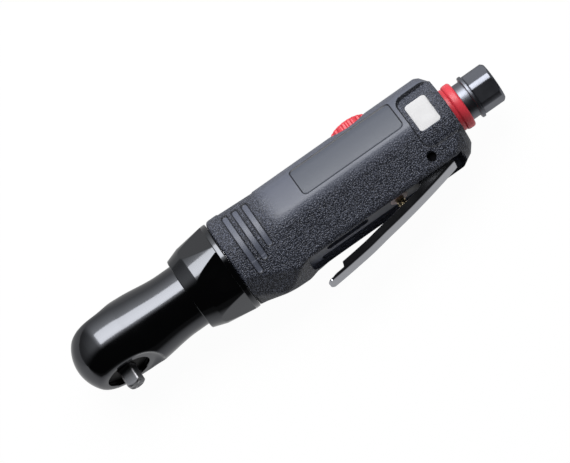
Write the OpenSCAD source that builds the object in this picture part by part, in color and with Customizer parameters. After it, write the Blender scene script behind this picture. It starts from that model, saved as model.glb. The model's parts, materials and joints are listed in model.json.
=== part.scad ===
// Composite-handled air ratchet with a quarter-inch square drive.
// The tool lies on its side: +X runs along the barrel from the head to the air inlet,
// -Y is the way the square drive and the throttle lever face, and +Z is up.
// The origin is where the drive axis crosses the barrel axis. Millimetres.

/* [Square drive] */
// Width of the square drive across its flats
drive_sq = 6.35; // [5.5:0.05:7]
// Length of square standing out of the head
drive_out = 6.8; // [5:0.1:9]
// Radius of the round drive hole in the head
drive_hole_r = 9.7; // [9.5:0.05:10]

/* [Ratchet head] */
// Radius of the head about the drive axis
head_r = 17.7; // [17:0.1:19]
// Height of the head's back above the barrel axis
head_back = 14; // [13.8:0.1:15]
// Depth of the head's drive face below the barrel axis
head_face = 12.5; // [12:0.1:13]
// Radius of the neck in front of the clamp nut
neck_r = 14.2; // [13.8:0.1:14.2]
// Largest radius of the shoulder between head and neck
shoulder_r = 16.6; // [15:0.1:17]

/* [Clamp nut] */
// Front face of the clamp nut along the barrel
nut_front = 38.5; // [38:0.1:39]
// Width of the nut across its wrench flats
nut_flats = 36.8; // [36:0.1:38]
// Radius of the nut's rear collar
nut_collar_r = 20.1; // [19.8:0.1:20.6]

/* [Grip] */
// Front face of the grip along the barrel
grip_front = 59.6; // [59.4:0.1:60]
// Rear face of the grip along the barrel
grip_rear = 170; // [169:0.5:172]
// Radius of the grip's round faces
grip_r = 20.2; // [20:0.1:20.6]
// Distance of the four flat facets from the barrel axis
facet_d = 18.9; // [18.6:0.1:19.2]
// Depth of the lever rims below the barrel axis
rim_depth = 20.5; // [20:0.1:21]
// Depth of the finger stop in front of the lever
stop_depth = 23.8; // [22:0.1:25]

/* [Throttle lever] */
// Place of the lever pivot along the barrel
pivot_x = 152.5; // [151:0.5:153]
// Angle of the released lever from the barrel
lever_open = 9; // [8:0.5:9]
// Outside width of the lever channel
lever_w = 12.4; // [12.2:0.1:12.6]
// Length of the lever from the pivot to its front tip
lever_len = 66; // [60:0.5:66]

/* [Power regulator] */
// Place of the throttle valve and the regulator dial along the barrel
valve_x = 132.2; // [131:0.1:133]
// Radius of the regulator dial
dial_r = 9.4; // [9:0.05:9.6]
// Number of finger grooves round the dial
dial_grooves = 22; // [12:1:28]

/* [Air inlet] */
// Width of the inlet hexagon across its flats
inlet_flats = 17; // [16:0.5:19]
// Far end of the inlet hexagon along the barrel
inlet_end = 192.5; // [191:0.5:195]
// Radius of the inlet's threaded hole
inlet_hole_r = 5.75; // [5.5:0.05:6]

/* [Hidden] */

$fn = 96;
eps = 0.01;
far = 60;
half_turn = 180;

// Running and standing clearances between fitted pieces
run_gap = 0.06;
seat_gap = 0.05;

// Finishes
black_steel = [0.05, 0.05, 0.06];
bright_steel = [0.66, 0.66, 0.68];
grey_plastic = [0.2, 0.2, 0.22];
signal_red = [0.75, 0.1, 0.15];
brass = [0.72, 0.6, 0.35];
white_plastic = [0.9, 0.87, 0.85];
rubber = [0.08, 0.08, 0.08];

// Heights in the head, measured along the drive axis
washer_low = -8;
yoke_low = -7.1;
yoke_high = 6;
cover_low = 6.2;
cover_high = 8.8;
ring_high = 9.9;
head_bore_r = 12.5;
snap_groove_r = 13.2;
head_back_round = 12;
head_face_round = 6;
spindle_face = -10.2;
spindle_r = 9;
spindle_top_r = 7.12;
drive_end = -head_face - drive_out;
drive_chamfer = 0.8;
ball_r = 1.1;
ball_y = (drive_end - head_face) / 2 - 0.4;
selector_r = 3;

// The pawl rocks on a pin held in the spindle
pawl_pin_r = 1.2;
pawl_z = 5.6;
pawl_half = 4.5;

// Yoke teeth and fork
yoke_r = 12.3;
yoke_teeth = 36;
yoke_tooth_tip_r = 9.9;
yoke_tooth_root_r = 10.9;
fork_in = 5.6;
fork_out = 7.6;
fork_end = 20;
fork_half_h = 3;

// Crank, drive bush and planet carrier
crank_throw = 1;
crank_pin_r = 1.6;
bush_r = 2.9;
bush_x = [14, 20];
crank_journal_r = 4.97;
carrier_x = [38.2, 42.2];
carrier_r = 9.5;
neck_bore_r = 9.6;
neck_end = 43.5;
flange_x = 41;
flange_r = 15.4;

// Planetary gears: sun and planets have twelve teeth, the ring thirty-six
gear_mod = 0.6;
sun_teeth = 12;
ring_teeth = 36;
planet_orbit_r = gear_mod * sun_teeth;
gear_pitch_r = planet_orbit_r / 2;
gear_tip_r = gear_pitch_r + 0.45;
gear_root_r = gear_pitch_r - 0.75;
ring_pitch_r = gear_mod * ring_teeth / 2;
ring_tip_r = ring_pitch_r - 0.55;
ring_root_r = ring_pitch_r + 0.7;
ring_gear_r = 15.3;
planet_pin_r = 1.4;
planet_x = [43.8, 50.4];
gear_end = 51.5;
planet_turns = [0, 120, 240];

// Vane motor
motor_r = 13.3;
motor_bore_r = motor_r + seat_gap;
front_plate_x = [52, 58];
cylinder_x = [58, 99];
rear_plate_x = [99, 105];
rotor_r = 9.3;
rotor_gap = 0.3;
cylinder_bore_r = 10.7;
cylinder_shift = 1;
bearing_r = 8;
bearing_w = 5;
front_journal_r = 4.45;
rear_journal_r = 3.95;
vane_count = 5;
vane_slot_w = 1.5;
vane_slot_r = 4.8;
vane_clear = 0.1;

// Grip: the round front barrel, the faceted body and the finger stop
spigot_r = 15.3;
bead_r = 20.8;
bead_end = 65.6;
barrel_r = [20.4, 19.7];
body_front = 82.7;
label_turn = 15;
flank_turn = -33;
facet_turns = [label_turn, flank_turn];
facet_ramps = [[label_turn, 77.5, 20, 18.9], [flank_turn, 69, 20.4, 19.2]];
rear_chamfer = [2.6, 1.9];

// Three finger grooves on each side of the barrel
groove_x = [67.4, 72.1, 76.9];
groove_low = [-45, -35, -25];
groove_high = 39;
groove_w = 2.7;
groove_depth = 0.9;

// Label panel, rear pocket and plate recess on each side
panel_x = [100.8, 150.4];
panel_w = [-5.8, 6.7];
panel_round = 2;
panel_depth = 0.5;
pocket_r = 18.4;
pocket_x = 152.5;
pocket_y = [-14, 12.1];
plate_x = [153.4, 163.7];
plate_half = 6.9;
plate_z = 16.7;
plate_round = 1.6;

// Lever channel in the underside of the grip
channel_x = [85.5, 164.5];
channel_half = 8;
channel_floor = -18.3;
island_half = 4.6;
leg_groove_x = [91, 160];
leg_groove_top = -14.2;
ear_pocket_x = [142.5, 164.2];
ear_pocket_half = 7.85;
ear_pocket_top = -11.2;
slot_x = [96, 116.8];
slot_half = 2;
slot_top = -15.8;

// Lever: a pressed steel channel with two ears round its pin
pivot_y = -15.9;
lever_t = 1.2;
lever_bend = 1.8;
lever_drop = 6.7;
lever_leg = 3.1;
leg_front = -57;
lever_rear = 6;
ear_r = 3.4;
pin_r = 2;
pin_half = 10.4;

// Throttle valve
bush_bore_r = 4.25;
valve_bush_r = 4.2;
bush_y = [-18.5, -9.2];
stem_r = 1.9;
stem_tip = -24;
poppet_r = 3.2;
poppet_y = [-9, -6.6];
stem_groove_y = [-21.9, -20.6];
stem_groove_w = 0.6;
stem_groove_r = 1.5;
chamber_r = 4.6;
chamber_top = 8.6;
o_ring_r = 0.5;

// Regulator dial in the back of the grip
dial_pocket_r = dial_r + 0.35;
dial_pocket_y = 11.5;
dial_y = [11.8, 20.3];
dial_stem_r = 3.55;
dial_stem_low = 4.5;
dial_groove_r = 0.55;
scallop_r = 14.5;
scallop_y = 15.5;

// Air inlet
inlet_bore_r = 7.55;
inlet_front = 148;
inlet_thread_r = inlet_bore_r - seat_gap;
journal_r = 8.3;
inlet_flange_x = [180.2, 181.8];
inlet_flange_r = 9.9;
inlet_hex_turn = 11.5;
inlet_hole_x = 176.5;
screen_x = 174.4;
screen_r = inlet_hole_r - 0.25;
air_way_r = 4;
exhaust_x = [grip_rear + 0.1, 173.1, 176.3];
exhaust_r = [9.7, 10.6];
exhaust_round = 0.8;

// Placing helpers

// Turns a drawing of Y and Z so that its height runs along the barrel
module along_x(x = 0) {
    translate([x, 0, 0]) rotate([90, 0, 90]) children();
}

// Turns a drawing of X and Z so that its height runs down from y along the drive axis
module along_drive(y = 0, x = 0) {
    translate([x, y, 0]) rotate([90, 0, 0]) children();
}

module rod_x(x0, x1, r) {
    along_x(x0) cylinder(h = x1 - x0, r = r);
}

module rod_y(y0, y1, r, x = 0) {
    along_drive(y1, x) cylinder(h = y1 - y0, r = r);
}

module tube_y(y0, y1, r, hole, x = 0) {
    difference() {
        rod_y(y0, y1, r, x);
        rod_y(y0 - eps, y1 + eps, hole, x);
    }
}

module tube_x(x0, x1, r, hole) {
    difference() {
        rod_x(x0, x1, r);
        rod_x(x0 - eps, x1 + eps, hole);
    }
}

module both_sides() {
    children();
    mirror([0, 0, 1]) children();
}

module round_bar(x, y0, y1) {
    square_w = y1 - y0;
    translate([x[0] + square_w / 2, y0]) square([x[1] - x[0] - square_w, square_w]);
    for (end = [x[0] + square_w / 2, x[1] - square_w / 2]) {
        translate([end, (y0 + y1) / 2]) circle(square_w / 2);
    }
}

module rounded_rect(x, y, r) {
    translate([x[0] + r, y[0]]) square([x[1] - x[0] - 2 * r, y[1] - y[0]]);
    translate([x[0], y[0] + r]) square([x[1] - x[0], y[1] - y[0] - 2 * r]);
    for (cx = [x[0] + r, x[1] - r], cy = [y[0] + r, y[1] - r]) {
        translate([cx, cy]) circle(r);
    }
}

// Points of a gear with straight-sided teeth, from its root and tip half angles
function gear_points(teeth, root_r, tip_r, root_half, tip_half, turn) = [
    for (tooth = [0 : teeth - 1], corner = [0 : 3])
        let (
            side = corner < 2 ? -1 : 1,
            on_root = corner == 0 || corner == 3,
            angle = turn + 360 / teeth * tooth + side * (on_root ? root_half : tip_half),
            radius = on_root ? root_r : tip_r
        )
        [radius * cos(angle), radius * sin(angle)]
];

module small_gear_outline(turn) {
    polygon(gear_points(sun_teeth, gear_root_r, gear_tip_r, 8, 3.2, turn));
}

// Smooth fall from the head's shoulder to the neck
function ease(t) = t * t * (3 - 2 * t);
function neck_radius(t) = shoulder_r + (neck_r - shoulder_r) * ease(t);

// Ratchet head

module head_profile() {
    back_in = head_r - head_back_round;
    face_in = head_r - head_face_round;
    back_low = head_back_round - head_back;
    face_high = head_face - head_face_round;
    intersection() {
        translate([0, -head_back]) square([head_r, head_back + head_face]);
        union() {
            polygon([
                [0, -head_back], [back_in, -head_back], [back_in, back_low], [head_r, back_low],
                [head_r, face_high], [face_in, head_face], [0, head_face]
            ]);
            translate([back_in, back_low]) circle(head_back_round);
            translate([face_in, face_high]) circle(head_face_round);
        }
    }
}

module neck_profile() {
    shoulder_x = [0, 12, 31];
    steps = 10;
    polygon(concat(
        [[0, shoulder_x[0]], [shoulder_r - 4, shoulder_x[0]], [shoulder_r - 0.4, 8]],
        [for (i = [0 : steps])
            [neck_radius(i / steps), shoulder_x[1] + (shoulder_x[2] - shoulder_x[1]) * i / steps]],
        [[neck_r, flange_x], [flange_r, flange_x], [flange_r, neck_end], [0, neck_end]]
    ));
}

// Flat face round the drive hole, cut with a hollow fillet into the neck
module spot_face_profile() {
    round_r = 3.5;
    flat_r = 12;
    polygon([
        [0, head_face], [flat_r, head_face], [flat_r, head_face + round_r],
        [flat_r + round_r, head_face + round_r], [flat_r + round_r, far], [0, far]
    ]);
    translate([flat_r, head_face + round_r]) circle(round_r);
}

module ratchet_head() {
    color(black_steel) difference() {
        union() {
            along_drive() rotate_extrude() head_profile();
            along_x() rotate_extrude() neck_profile();
        }
        along_drive() rotate_extrude() spot_face_profile();
        rod_y(-head_face - eps, washer_low + eps, drive_hole_r);
        rod_y(washer_low, far, head_bore_r);
        rod_y(cover_high, ring_high, snap_groove_r);
        rod_x(6, neck_end + eps, neck_bore_r);
        rod_x(carrier_x[0] - 0.7, neck_end + eps, carrier_r + 0.5);
    }
}

// Square drive spindle with its window for the pawl and its bore for the selector

module drive_spindle() {
    half = drive_sq / 2;
    window = [7.6, 2.2];
    ball_bore = half + ball_r;
    color(bright_steel) difference() {
        union() {
            rod_y(spindle_face, yoke_low + 0.1, drive_hole_r - run_gap);
            rod_y(yoke_low, yoke_high + 0.1, spindle_r);
            rod_y(yoke_high, cover_high - 0.2, spindle_top_r);
            intersection() {
                along_drive(spindle_face + eps) rotate([0, 0, 15])
                    translate([-half, -half, 0]) cube([drive_sq, drive_sq, spindle_face - drive_end]);
                along_drive(spindle_face + eps) rotate_extrude() polygon([
                    [0, 0], [drive_sq, 0], [drive_sq, spindle_face - drive_end - 3],
                    [half + 0.55, spindle_face - drive_end], [0, spindle_face - drive_end]
                ]);
            }
        }
        rod_y(0.8, cover_high, selector_r + run_gap);
        along_drive(pawl_half + 0.1) linear_extrude(2 * pawl_half + 0.2)
            translate([-window[0], window[1]]) square([2 * window[0], far]);
        translate([0, 0, pawl_z]) rod_y(-6.6, yoke_high + 1, pawl_pin_r + 0.02);
        translate([0, ball_y, 0]) rotate([0, -15, 0]) translate([0, 0, -ball_bore])
            cylinder(h = ball_bore, r = ball_r + run_gap);
    }
}

// Ball that clicks into a socket's wall, on the far flat of the square

module socket_ball() {
    stand = 0.45;
    color(bright_steel) translate([0, ball_y, 0]) rotate([0, -15, 0])
        translate([0, 0, -drive_sq / 2 - stand + ball_r]) sphere(ball_r);
}

// Toothed yoke that swings round the spindle, with the fork that the crank drives

module ratchet_yoke() {
    teeth = gear_points(yoke_teeth, yoke_tooth_root_r, yoke_tooth_tip_r, 4.4, 0.8, 0);
    color(bright_steel) union() {
        along_drive(yoke_high) linear_extrude(yoke_high - yoke_low) difference() {
            circle(yoke_r);
            polygon(teeth);
        }
        both_sides() difference() {
            translate([0, -fork_half_h, fork_in]) cube([fork_end, 2 * fork_half_h, fork_out - fork_in]);
            rod_y(-far, far, yoke_r - 0.8);
        }
    }
}

module ratchet_pawl() {
    reach = 6.9;
    color(bright_steel) difference() {
        along_drive(pawl_half) linear_extrude(2 * pawl_half) polygon([
            [-6.4, 4.3], [-reach, pawl_z], [-5, 7.2], [0, 8.2], [5, 7.2], [reach, pawl_z], [6.4, 4.3],
            [3, 3.6], [-3, 3.6]
        ]);
        translate([0, 0, pawl_z]) rod_y(-far, far, pawl_pin_r + run_gap);
    }
}

module pawl_pin() {
    color(bright_steel) translate([0, 0, pawl_z]) rod_y(-6.5, yoke_high, pawl_pin_r);
}

// Low selector dial in the head's back, with a grip bar across it

module reverse_dial() {
    disc_r = 6.4;
    bar_half = 1.5;
    low = cover_high + 0.1;
    color(black_steel) union() {
        rod_y(1, low + eps, selector_r);
        difference() {
            rod_y(low, low + 3, disc_r);
            for (side = [-1, 1]) {
                translate([-far / 2, low + 1.4, side > 0 ? bar_half : -far - bar_half]) cube([far, far, far]);
            }
        }
    }
}

module thrust_washer() {
    color(brass) tube_y(washer_low, yoke_low - 0.1, head_bore_r - seat_gap, drive_hole_r + 0.1);
}

module head_cover() {
    color(black_steel) tube_y(cover_low, cover_high, head_bore_r - seat_gap, spindle_top_r + run_gap);
}

module head_snap_ring() {
    gap_half = 1.6;
    color(black_steel) difference() {
        tube_y(cover_high, ring_high - 0.05, snap_groove_r - seat_gap, head_bore_r - 1.8);
        translate([-far, cover_high - 1, -gap_half]) cube([far, 4, 2 * gap_half]);
    }
}

// Crank shaft with its planet carrier, and the rolling bush on its pin

module crank_shaft() {
    web_x = [20.8, 24];
    color(bright_steel) difference() {
        union() {
            translate([0, crank_throw, 0]) rod_x(13.6, web_x[0] + eps, crank_pin_r);
            rod_x(web_x[0], web_x[1], 4.6);
            rod_x(web_x[1] - eps, carrier_x[0] + eps, crank_journal_r);
            rod_x(carrier_x[0], carrier_x[1], carrier_r);
        }
        at_planets() rod_x(carrier_x[0] + 0.5, carrier_x[1] + eps, planet_pin_r + 0.02);
    }
}

module yoke_bush() {
    color(bright_steel) translate([0, crank_throw, 0])
        tube_x(bush_x[0], bush_x[1], bush_r, crank_pin_r + run_gap);
}

module crank_bearing() {
    color(bright_steel) tube_x(25, 37, neck_bore_r - seat_gap, crank_journal_r + run_gap);
}

// Planetary reduction

module at_planets() {
    for (turn = planet_turns) {
        rotate([turn, 0, 0]) translate([0, planet_orbit_r, 0]) children();
    }
}

module planet_pins() {
    color(bright_steel) at_planets() rod_x(carrier_x[0] + 0.5, planet_x[1] + 0.3, planet_pin_r);
}

module planet_gear(turn) {
    color(bright_steel) rotate([turn, 0, 0]) translate([0, planet_orbit_r, 0]) difference() {
        along_x(planet_x[0]) linear_extrude(planet_x[1] - planet_x[0])
            small_gear_outline(half_turn / sun_teeth);
        rod_x(planet_x[0] - 1, planet_x[1] + 1, planet_pin_r + run_gap);
    }
}

module planet_gear_1() {
    planet_gear(planet_turns[0]);
}

module planet_gear_2() {
    planet_gear(planet_turns[1]);
}

module planet_gear_3() {
    planet_gear(planet_turns[2]);
}

module ring_gear() {
    teeth = gear_points(ring_teeth, ring_root_r, ring_tip_r, 2.7, 1, 0);
    color(bright_steel) along_x(neck_end) linear_extrude(gear_end - neck_end) difference() {
        circle(ring_gear_r);
        polygon(teeth);
    }
}

// Tapered clamp nut: six wrench flats run out on its cone

module clamp_nut() {
    bore_r = flange_r + seat_gap;
    lip_end = flange_x - 0.1;
    hex_end = 56.2;
    rear = grip_front - 0.2;
    color(black_steel) difference() {
        along_x() rotate_extrude() polygon([
            [neck_r + 0.15, nut_front], [16.8, nut_front], [17.3, nut_front + 0.6], [18.6, 45.4],
            [20.6, hex_end], [19.4, hex_end + 0.15], [19.4, hex_end + 0.5], [nut_collar_r, hex_end + 0.7],
            [nut_collar_r, rear - 0.4], [nut_collar_r - 0.4, rear], [bore_r, rear], [bore_r, lip_end],
            [neck_r + 0.15, lip_end]
        ]);
        for (turn = [0 : 60 : 300]) {
            rotate([turn, 0, 0]) translate([nut_front - 1, nut_flats / 2, -far / 2])
                cube([hex_end - nut_front + 1, far, far]);
        }
    }
}

// Vane motor

module motor_front_plate() {
    color(bright_steel) difference() {
        rod_x(front_plate_x[0], front_plate_x[1], motor_r);
        rod_x(front_plate_x[1] - bearing_w, front_plate_x[1] + eps, bearing_r + 0.03);
        rod_x(front_plate_x[0] - eps, front_plate_x[1], front_journal_r + 0.5);
    }
}

module motor_front_bearing() {
    color(bright_steel)
        tube_x(front_plate_x[1] - bearing_w, front_plate_x[1], bearing_r, front_journal_r + run_gap);
}

module motor_cylinder() {
    color(bright_steel) difference() {
        rod_x(cylinder_x[0], cylinder_x[1], motor_r);
        translate([0, cylinder_shift, 0]) rod_x(cylinder_x[0] - eps, cylinder_x[1] + eps, cylinder_bore_r);
    }
}

module at_vanes() {
    for (vane = [0 : vane_count - 1]) {
        rotate([360 / vane_count * vane, 0, 0]) children();
    }
}

module motor_rotor() {
    rotor_x = [cylinder_x[0] + rotor_gap, cylinder_x[1] - rotor_gap];
    color(bright_steel) difference() {
        union() {
            along_x(planet_x[0]) linear_extrude(front_plate_x[0] - planet_x[0]) small_gear_outline(0);
            rod_x(planet_x[1] + 0.6, rotor_x[0] + eps, front_journal_r);
            rod_x(rotor_x[0], rotor_x[1], rotor_r);
            rod_x(rotor_x[1] - eps, rear_plate_x[0] + bearing_w, rear_journal_r);
        }
        at_vanes() translate([rotor_x[0] - eps, vane_slot_r, -vane_slot_w / 2])
            cube([rotor_x[1] - rotor_x[0] + 2 * eps, far, vane_slot_w]);
    }
}

module motor_vanes() {
    thick = vane_slot_w - vane_clear;
    length = cylinder_x[1] - cylinder_x[0] - 2 * rotor_gap;
    color(brass) at_vanes() translate([cylinder_x[0] + rotor_gap, vane_slot_r + vane_clear, -thick / 2])
        cube([length, 4.2, thick]);
}

module motor_rear_plate() {
    color(bright_steel) difference() {
        rod_x(rear_plate_x[0], rear_plate_x[1], motor_r);
        rod_x(rear_plate_x[0] - eps, rear_plate_x[0] + bearing_w, bearing_r + 0.03);
    }
}

module motor_rear_bearing() {
    color(bright_steel)
        tube_x(rear_plate_x[0], rear_plate_x[0] + bearing_w, bearing_r, rear_journal_r + run_gap);
}

// Grip housing

module barrel_profile() {
    bead_round = 2.2;
    polygon([
        [0, gear_end], [spigot_r, gear_end], [spigot_r, grip_front], [bead_r - bead_round, grip_front],
        [bead_r - bead_round, grip_front + bead_round], [bead_r, grip_front + bead_round],
        [bead_r, bead_end], [barrel_r[0], bead_end + 0.4], [barrel_r[1], body_front],
        [barrel_r[1], body_front + 0.5], [0, body_front + 0.5]
    ]);
    translate([bead_r - bead_round, grip_front + bead_round]) circle(bead_round);
}

// Cuts everything outside a flat facet whose outward normal is turned up from +Z
module beyond_facet(turn, distance, x0, x1) {
    rotate([-turn, 0, 0]) translate([x0, -far / 2, distance]) cube([x1 - x0, far, far]);
}

module body_section() {
    circle(grip_r);
    polygon([[-rim_depth, -10.4], [-rim_depth, 10.4], [-10, far / 3], [-10, -far / 3]]);
}

module grip_body() {
    difference() {
        along_x(body_front) linear_extrude(grip_rear - body_front) body_section();
        both_sides() for (turn = facet_turns) {
            beyond_facet(turn, facet_d, body_front - 1, grip_rear + 1);
        }
        both_sides() for (turn = facet_turns) {
            rear_edge_cut(turn, facet_d);
        }
        along_x() rotate_extrude() polygon([
            [grip_r + 3.4, grip_rear - 10.5], [far, grip_rear - 10.5], [far, grip_rear + 1],
            [grip_r - 2.6, grip_rear + 1], [grip_r - 2.6, grip_rear], [grip_r + 0.05, grip_rear - 5]
        ]);
    }
}

// Sloping cut that breaks the rear edge of one facet
module rear_edge_cut(turn, distance) {
    slope = atan2(rear_chamfer[1], rear_chamfer[0]);
    rotate([-turn, 0, 0]) translate([grip_rear - rear_chamfer[0], -far / 2, distance])
        rotate([0, slope, 0]) cube([far, far, far]);
}

// Sloping cut that lets a facet run out on the round barrel
module facet_ramp_cut(turn, start_x, start_d, end_d) {
    slope = atan2(start_d - end_d, body_front - start_x);
    rotate([-turn, 0, 0]) translate([start_x, -far / 2, start_d])
        rotate([0, slope, 0]) cube([far, far, far]);
}

module finger_stop() {
    base_y = -10;
    stop_half = [6.5, 10.5];
    intersection() {
        translate([0, 0, -far / 2]) linear_extrude(far) polygon([
                [grip_front + 0.6, base_y], [grip_front + 0.6, -19.2], [62.6, -20.4], [70.4, -stop_depth + 0.2],
                [71.2, -stop_depth], [74.2, -stop_depth], [75.2, -stop_depth + 0.2],
                [86.6, -rim_depth + 0.2], [86.6, base_y]
            ]);
        along_x(grip_front) linear_extrude(far) polygon([
            [-stop_depth - 1, -stop_half[0] + 0.6], [-stop_depth - 1, stop_half[0] - 0.6],
            [-18, stop_half[1]], [base_y, stop_half[1] + 4], [base_y, -stop_half[1] - 4], [-18, -stop_half[1]]
        ]);
    }
}

// One finger groove with round ends, running round the barrel
module groove_cut(x, low, high) {
    bottom_r = barrel_r[0] - groove_depth - 0.35;
    along_x(x - groove_w / 2) rotate([0, 0, 90 - high]) rotate_extrude(angle = high - low)
        translate([bottom_r, 0]) square([far / 4, groove_w]);
    for (turn = [low, high]) {
        rotate([-turn, 0, 0]) translate([x, 0, bottom_r]) cylinder(h = far / 4, r = groove_w / 2 - 0.06);
    }
}

module finger_grooves() {
    both_sides() for (i = [0 : len(groove_x) - 1]) {
        groove_cut(groove_x[i], groove_low[i], groove_high);
    }
}

module label_panels() {
    both_sides() rotate([-label_turn, 0, 0]) translate([0, 0, facet_d - panel_depth])
        linear_extrude(far) rounded_rect(panel_x, panel_w, panel_round);
}

// Pocket that is open to the rear, with a flat-bottomed recess for a plate
module rear_pockets() {
    both_sides() difference() {
        linear_extrude(far) difference() {
            rounded_rect([pocket_x, grip_rear + 20], pocket_y, 4);
        }
        rod_x(pocket_x - 1, grip_rear + 30, pocket_r);
    }
    both_sides() translate([0, 0, plate_z]) linear_extrude(far)
        rounded_rect(plate_x, [-plate_half, plate_half], plate_round);
}

module lever_channel() {
    front_round = 4;
    low = -rim_depth - 8;
    along_drive(channel_floor) linear_extrude(channel_floor - low)
        rounded_rect([channel_x[0], channel_x[1]], [-channel_half, channel_half], front_round);
    both_sides() along_drive(leg_groove_top) linear_extrude(leg_groove_top - low)
        round_bar(leg_groove_x, island_half, channel_half - 0.3);
    along_drive(ear_pocket_top) linear_extrude(ear_pocket_top - low)
        rounded_rect(ear_pocket_x, [-ear_pocket_half, ear_pocket_half], 1.5);
    along_drive(slot_top) linear_extrude(slot_top - low) round_bar(slot_x, -slot_half, slot_half);
    translate([pivot_x, pivot_y, -far / 2]) cylinder(h = far, r = pin_r + 0.03);
}

module valve_bores() {
    rod_y(bush_y[0] - 2, bush_y[1] + eps, bush_bore_r, valve_x);
    rod_y(bush_y[1], chamber_top, chamber_r, valve_x);
    rod_y(chamber_top - eps, dial_pocket_y + eps, dial_stem_r + run_gap, valve_x);
    rod_y(dial_pocket_y, far, dial_pocket_r, valve_x);
    rod_y(9.6, 10.8, dial_stem_r + 0.9, valve_x);
    translate([valve_x, scallop_y + scallop_r, -far / 2]) cylinder(h = far, r = scallop_r);
}

module air_bores() {
    rod_x(gear_end - eps, rear_plate_x[1], motor_bore_r);
    rod_x(rear_plate_x[1] - eps, inlet_front, 3);
    rod_x(inlet_front - eps, grip_rear + eps, inlet_bore_r);
}

module grip_housing() {
    color(grey_plastic) difference() {
        union() {
            difference() {
                along_x() rotate_extrude() barrel_profile();
                both_sides() for (ramp = facet_ramps) {
                    facet_ramp_cut(ramp[0], ramp[1], ramp[2], ramp[3]);
                }
            }
            grip_body();
            finger_stop();
        }
        finger_grooves();
        label_panels();
        rear_pockets();
        lever_channel();
        valve_bores();
        air_bores();
    }
}

// Throttle lever

module lever_outline() {
    outer = lever_w / 2;
    inner = outer - lever_t;
    tip = 3.4;
    difference() {
        union() {
            translate([-outer, -lever_drop + lever_bend]) square([lever_w, far]);
            translate([-outer + lever_bend, -lever_drop]) square([lever_w - 2 * lever_bend, far]);
            for (side = [-1, 1]) {
                translate([side * (outer - lever_bend), -lever_drop + lever_bend]) circle(lever_bend);
            }
        }
        translate([-inner, -lever_drop + lever_t]) square([2 * inner, 2 * far]);
    }
}

// Side view of the lever: legs of even height that rise into the ears at the pin
module lever_side() {
    low = -lever_drop - 1;
    web_top = lever_t - lever_drop;
    leg_top = lever_leg - lever_drop;
    notch_r = 1.8;
    polygon(concat(
        [[-lever_len - 1, low], [-lever_len - 1, web_top], [leg_front, web_top]],
        [for (turn = [90 : -15 : 0])
            [leg_front + notch_r * (1 - sin(turn)), web_top + notch_r * (1 - cos(turn)) ]],
        [[leg_front + notch_r + 0.8, leg_top], [-15, leg_top]],
        [for (turn = [150 : -15 : 0]) [ear_r * cos(turn), ear_r * sin(turn)]],
        [[lever_rear - 1.5, leg_top], [lever_rear - 1.5, web_top], [lever_rear, web_top], [lever_rear, low]]
    ));
}

// Plan of the lever: a round tongue in front of the legs
module lever_plan() {
    tongue_half = lever_w / 2 - 0.9;
    translate([leg_front - 1, -lever_w / 2]) square([lever_rear - leg_front + 1, lever_w]);
    translate([-lever_len + tongue_half, -tongue_half])
        square([lever_len + leg_front - tongue_half, 2 * tongue_half]);
    translate([-lever_len + tongue_half, 0]) circle(tongue_half);
}

module throttle_lever() {
    color(black_steel) translate([pivot_x, pivot_y, 0]) rotate([0, 0, lever_open]) difference() {
        intersection() {
            along_x(-lever_len) linear_extrude(lever_len + lever_rear) rotate([0, 0, 90]) mirror([0, 1, 0])
                lever_outline();
            translate([0, 0, -far / 2]) linear_extrude(far) lever_side();
            along_drive(far / 2) linear_extrude(far) lever_plan();
        }
        translate([0, 0, -far / 2]) cylinder(h = far, r = pin_r + run_gap);
    }
}

module lever_pin() {
    color(black_steel) translate([pivot_x, pivot_y, -pin_half]) cylinder(h = 2 * pin_half, r = pin_r);
}

// Throttle valve

module valve_stem() {
    dome = 0.5;
    color(brass) difference() {
        union() {
            rod_y(stem_tip + dome, poppet_y[1], stem_r, valve_x);
            along_drive(stem_tip + dome, valve_x) cylinder(h = dome, r1 = stem_r, r2 = stem_r - 0.9);
            rod_y(poppet_y[0], poppet_y[1], poppet_r, valve_x);
        }
        for (y = stem_groove_y) {
            tube_y(y, y + stem_groove_w, far / 10, stem_groove_r, valve_x);
        }
    }
}

module valve_bush() {
    seal_y = -14;
    color(white_plastic) difference() {
        tube_y(bush_y[0], bush_y[1], valve_bush_r, stem_r + run_gap, valve_x);
        rod_y(seal_y - 0.65, seal_y + 0.65, stem_r + 1.2, valve_x);
    }
}

module stem_o_ring() {
    color(rubber) along_drive(-14, valve_x) rotate_extrude()
        translate([stem_r + o_ring_r + 0.06, 0]) circle(o_ring_r, $fn = 24);
}

// The return spring is a plain sleeve of the coil's outside, shut inside the valve chamber
module valve_spring() {
    color(bright_steel) tube_y(-3.3, dial_stem_low - 0.3, 3, 2.3, valve_x);
}

// Power regulator

module regulator_dial() {
    color(signal_red) difference() {
        union() {
            rod_y(dial_y[0], dial_y[1] - 0.6, dial_r, valve_x);
            along_drive(dial_y[1], valve_x) cylinder(h = 0.6, r1 = dial_r - 0.6, r2 = dial_r);
            rod_y(dial_stem_low, dial_y[0] + eps, dial_stem_r, valve_x);
        }
        for (i = [0 : dial_grooves - 1]) {
            translate([valve_x, 0, 0]) rotate([0, 360 / dial_grooves * (i + 0.5), 0])
                rod_y(dial_y[0] - eps, dial_y[1] + 1, dial_groove_r, dial_r + 0.1);
        }
        translate([valve_x - 0.6, dial_y[1] - 0.5, -far]) cube([1.2, far, far - 2]);
    }
}

module regulator_o_ring() {
    color(rubber) along_drive(10.2, valve_x) rotate_extrude()
        translate([dial_stem_r + 0.46, 0]) circle(0.38, $fn = 24);
}

// Air inlet

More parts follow.
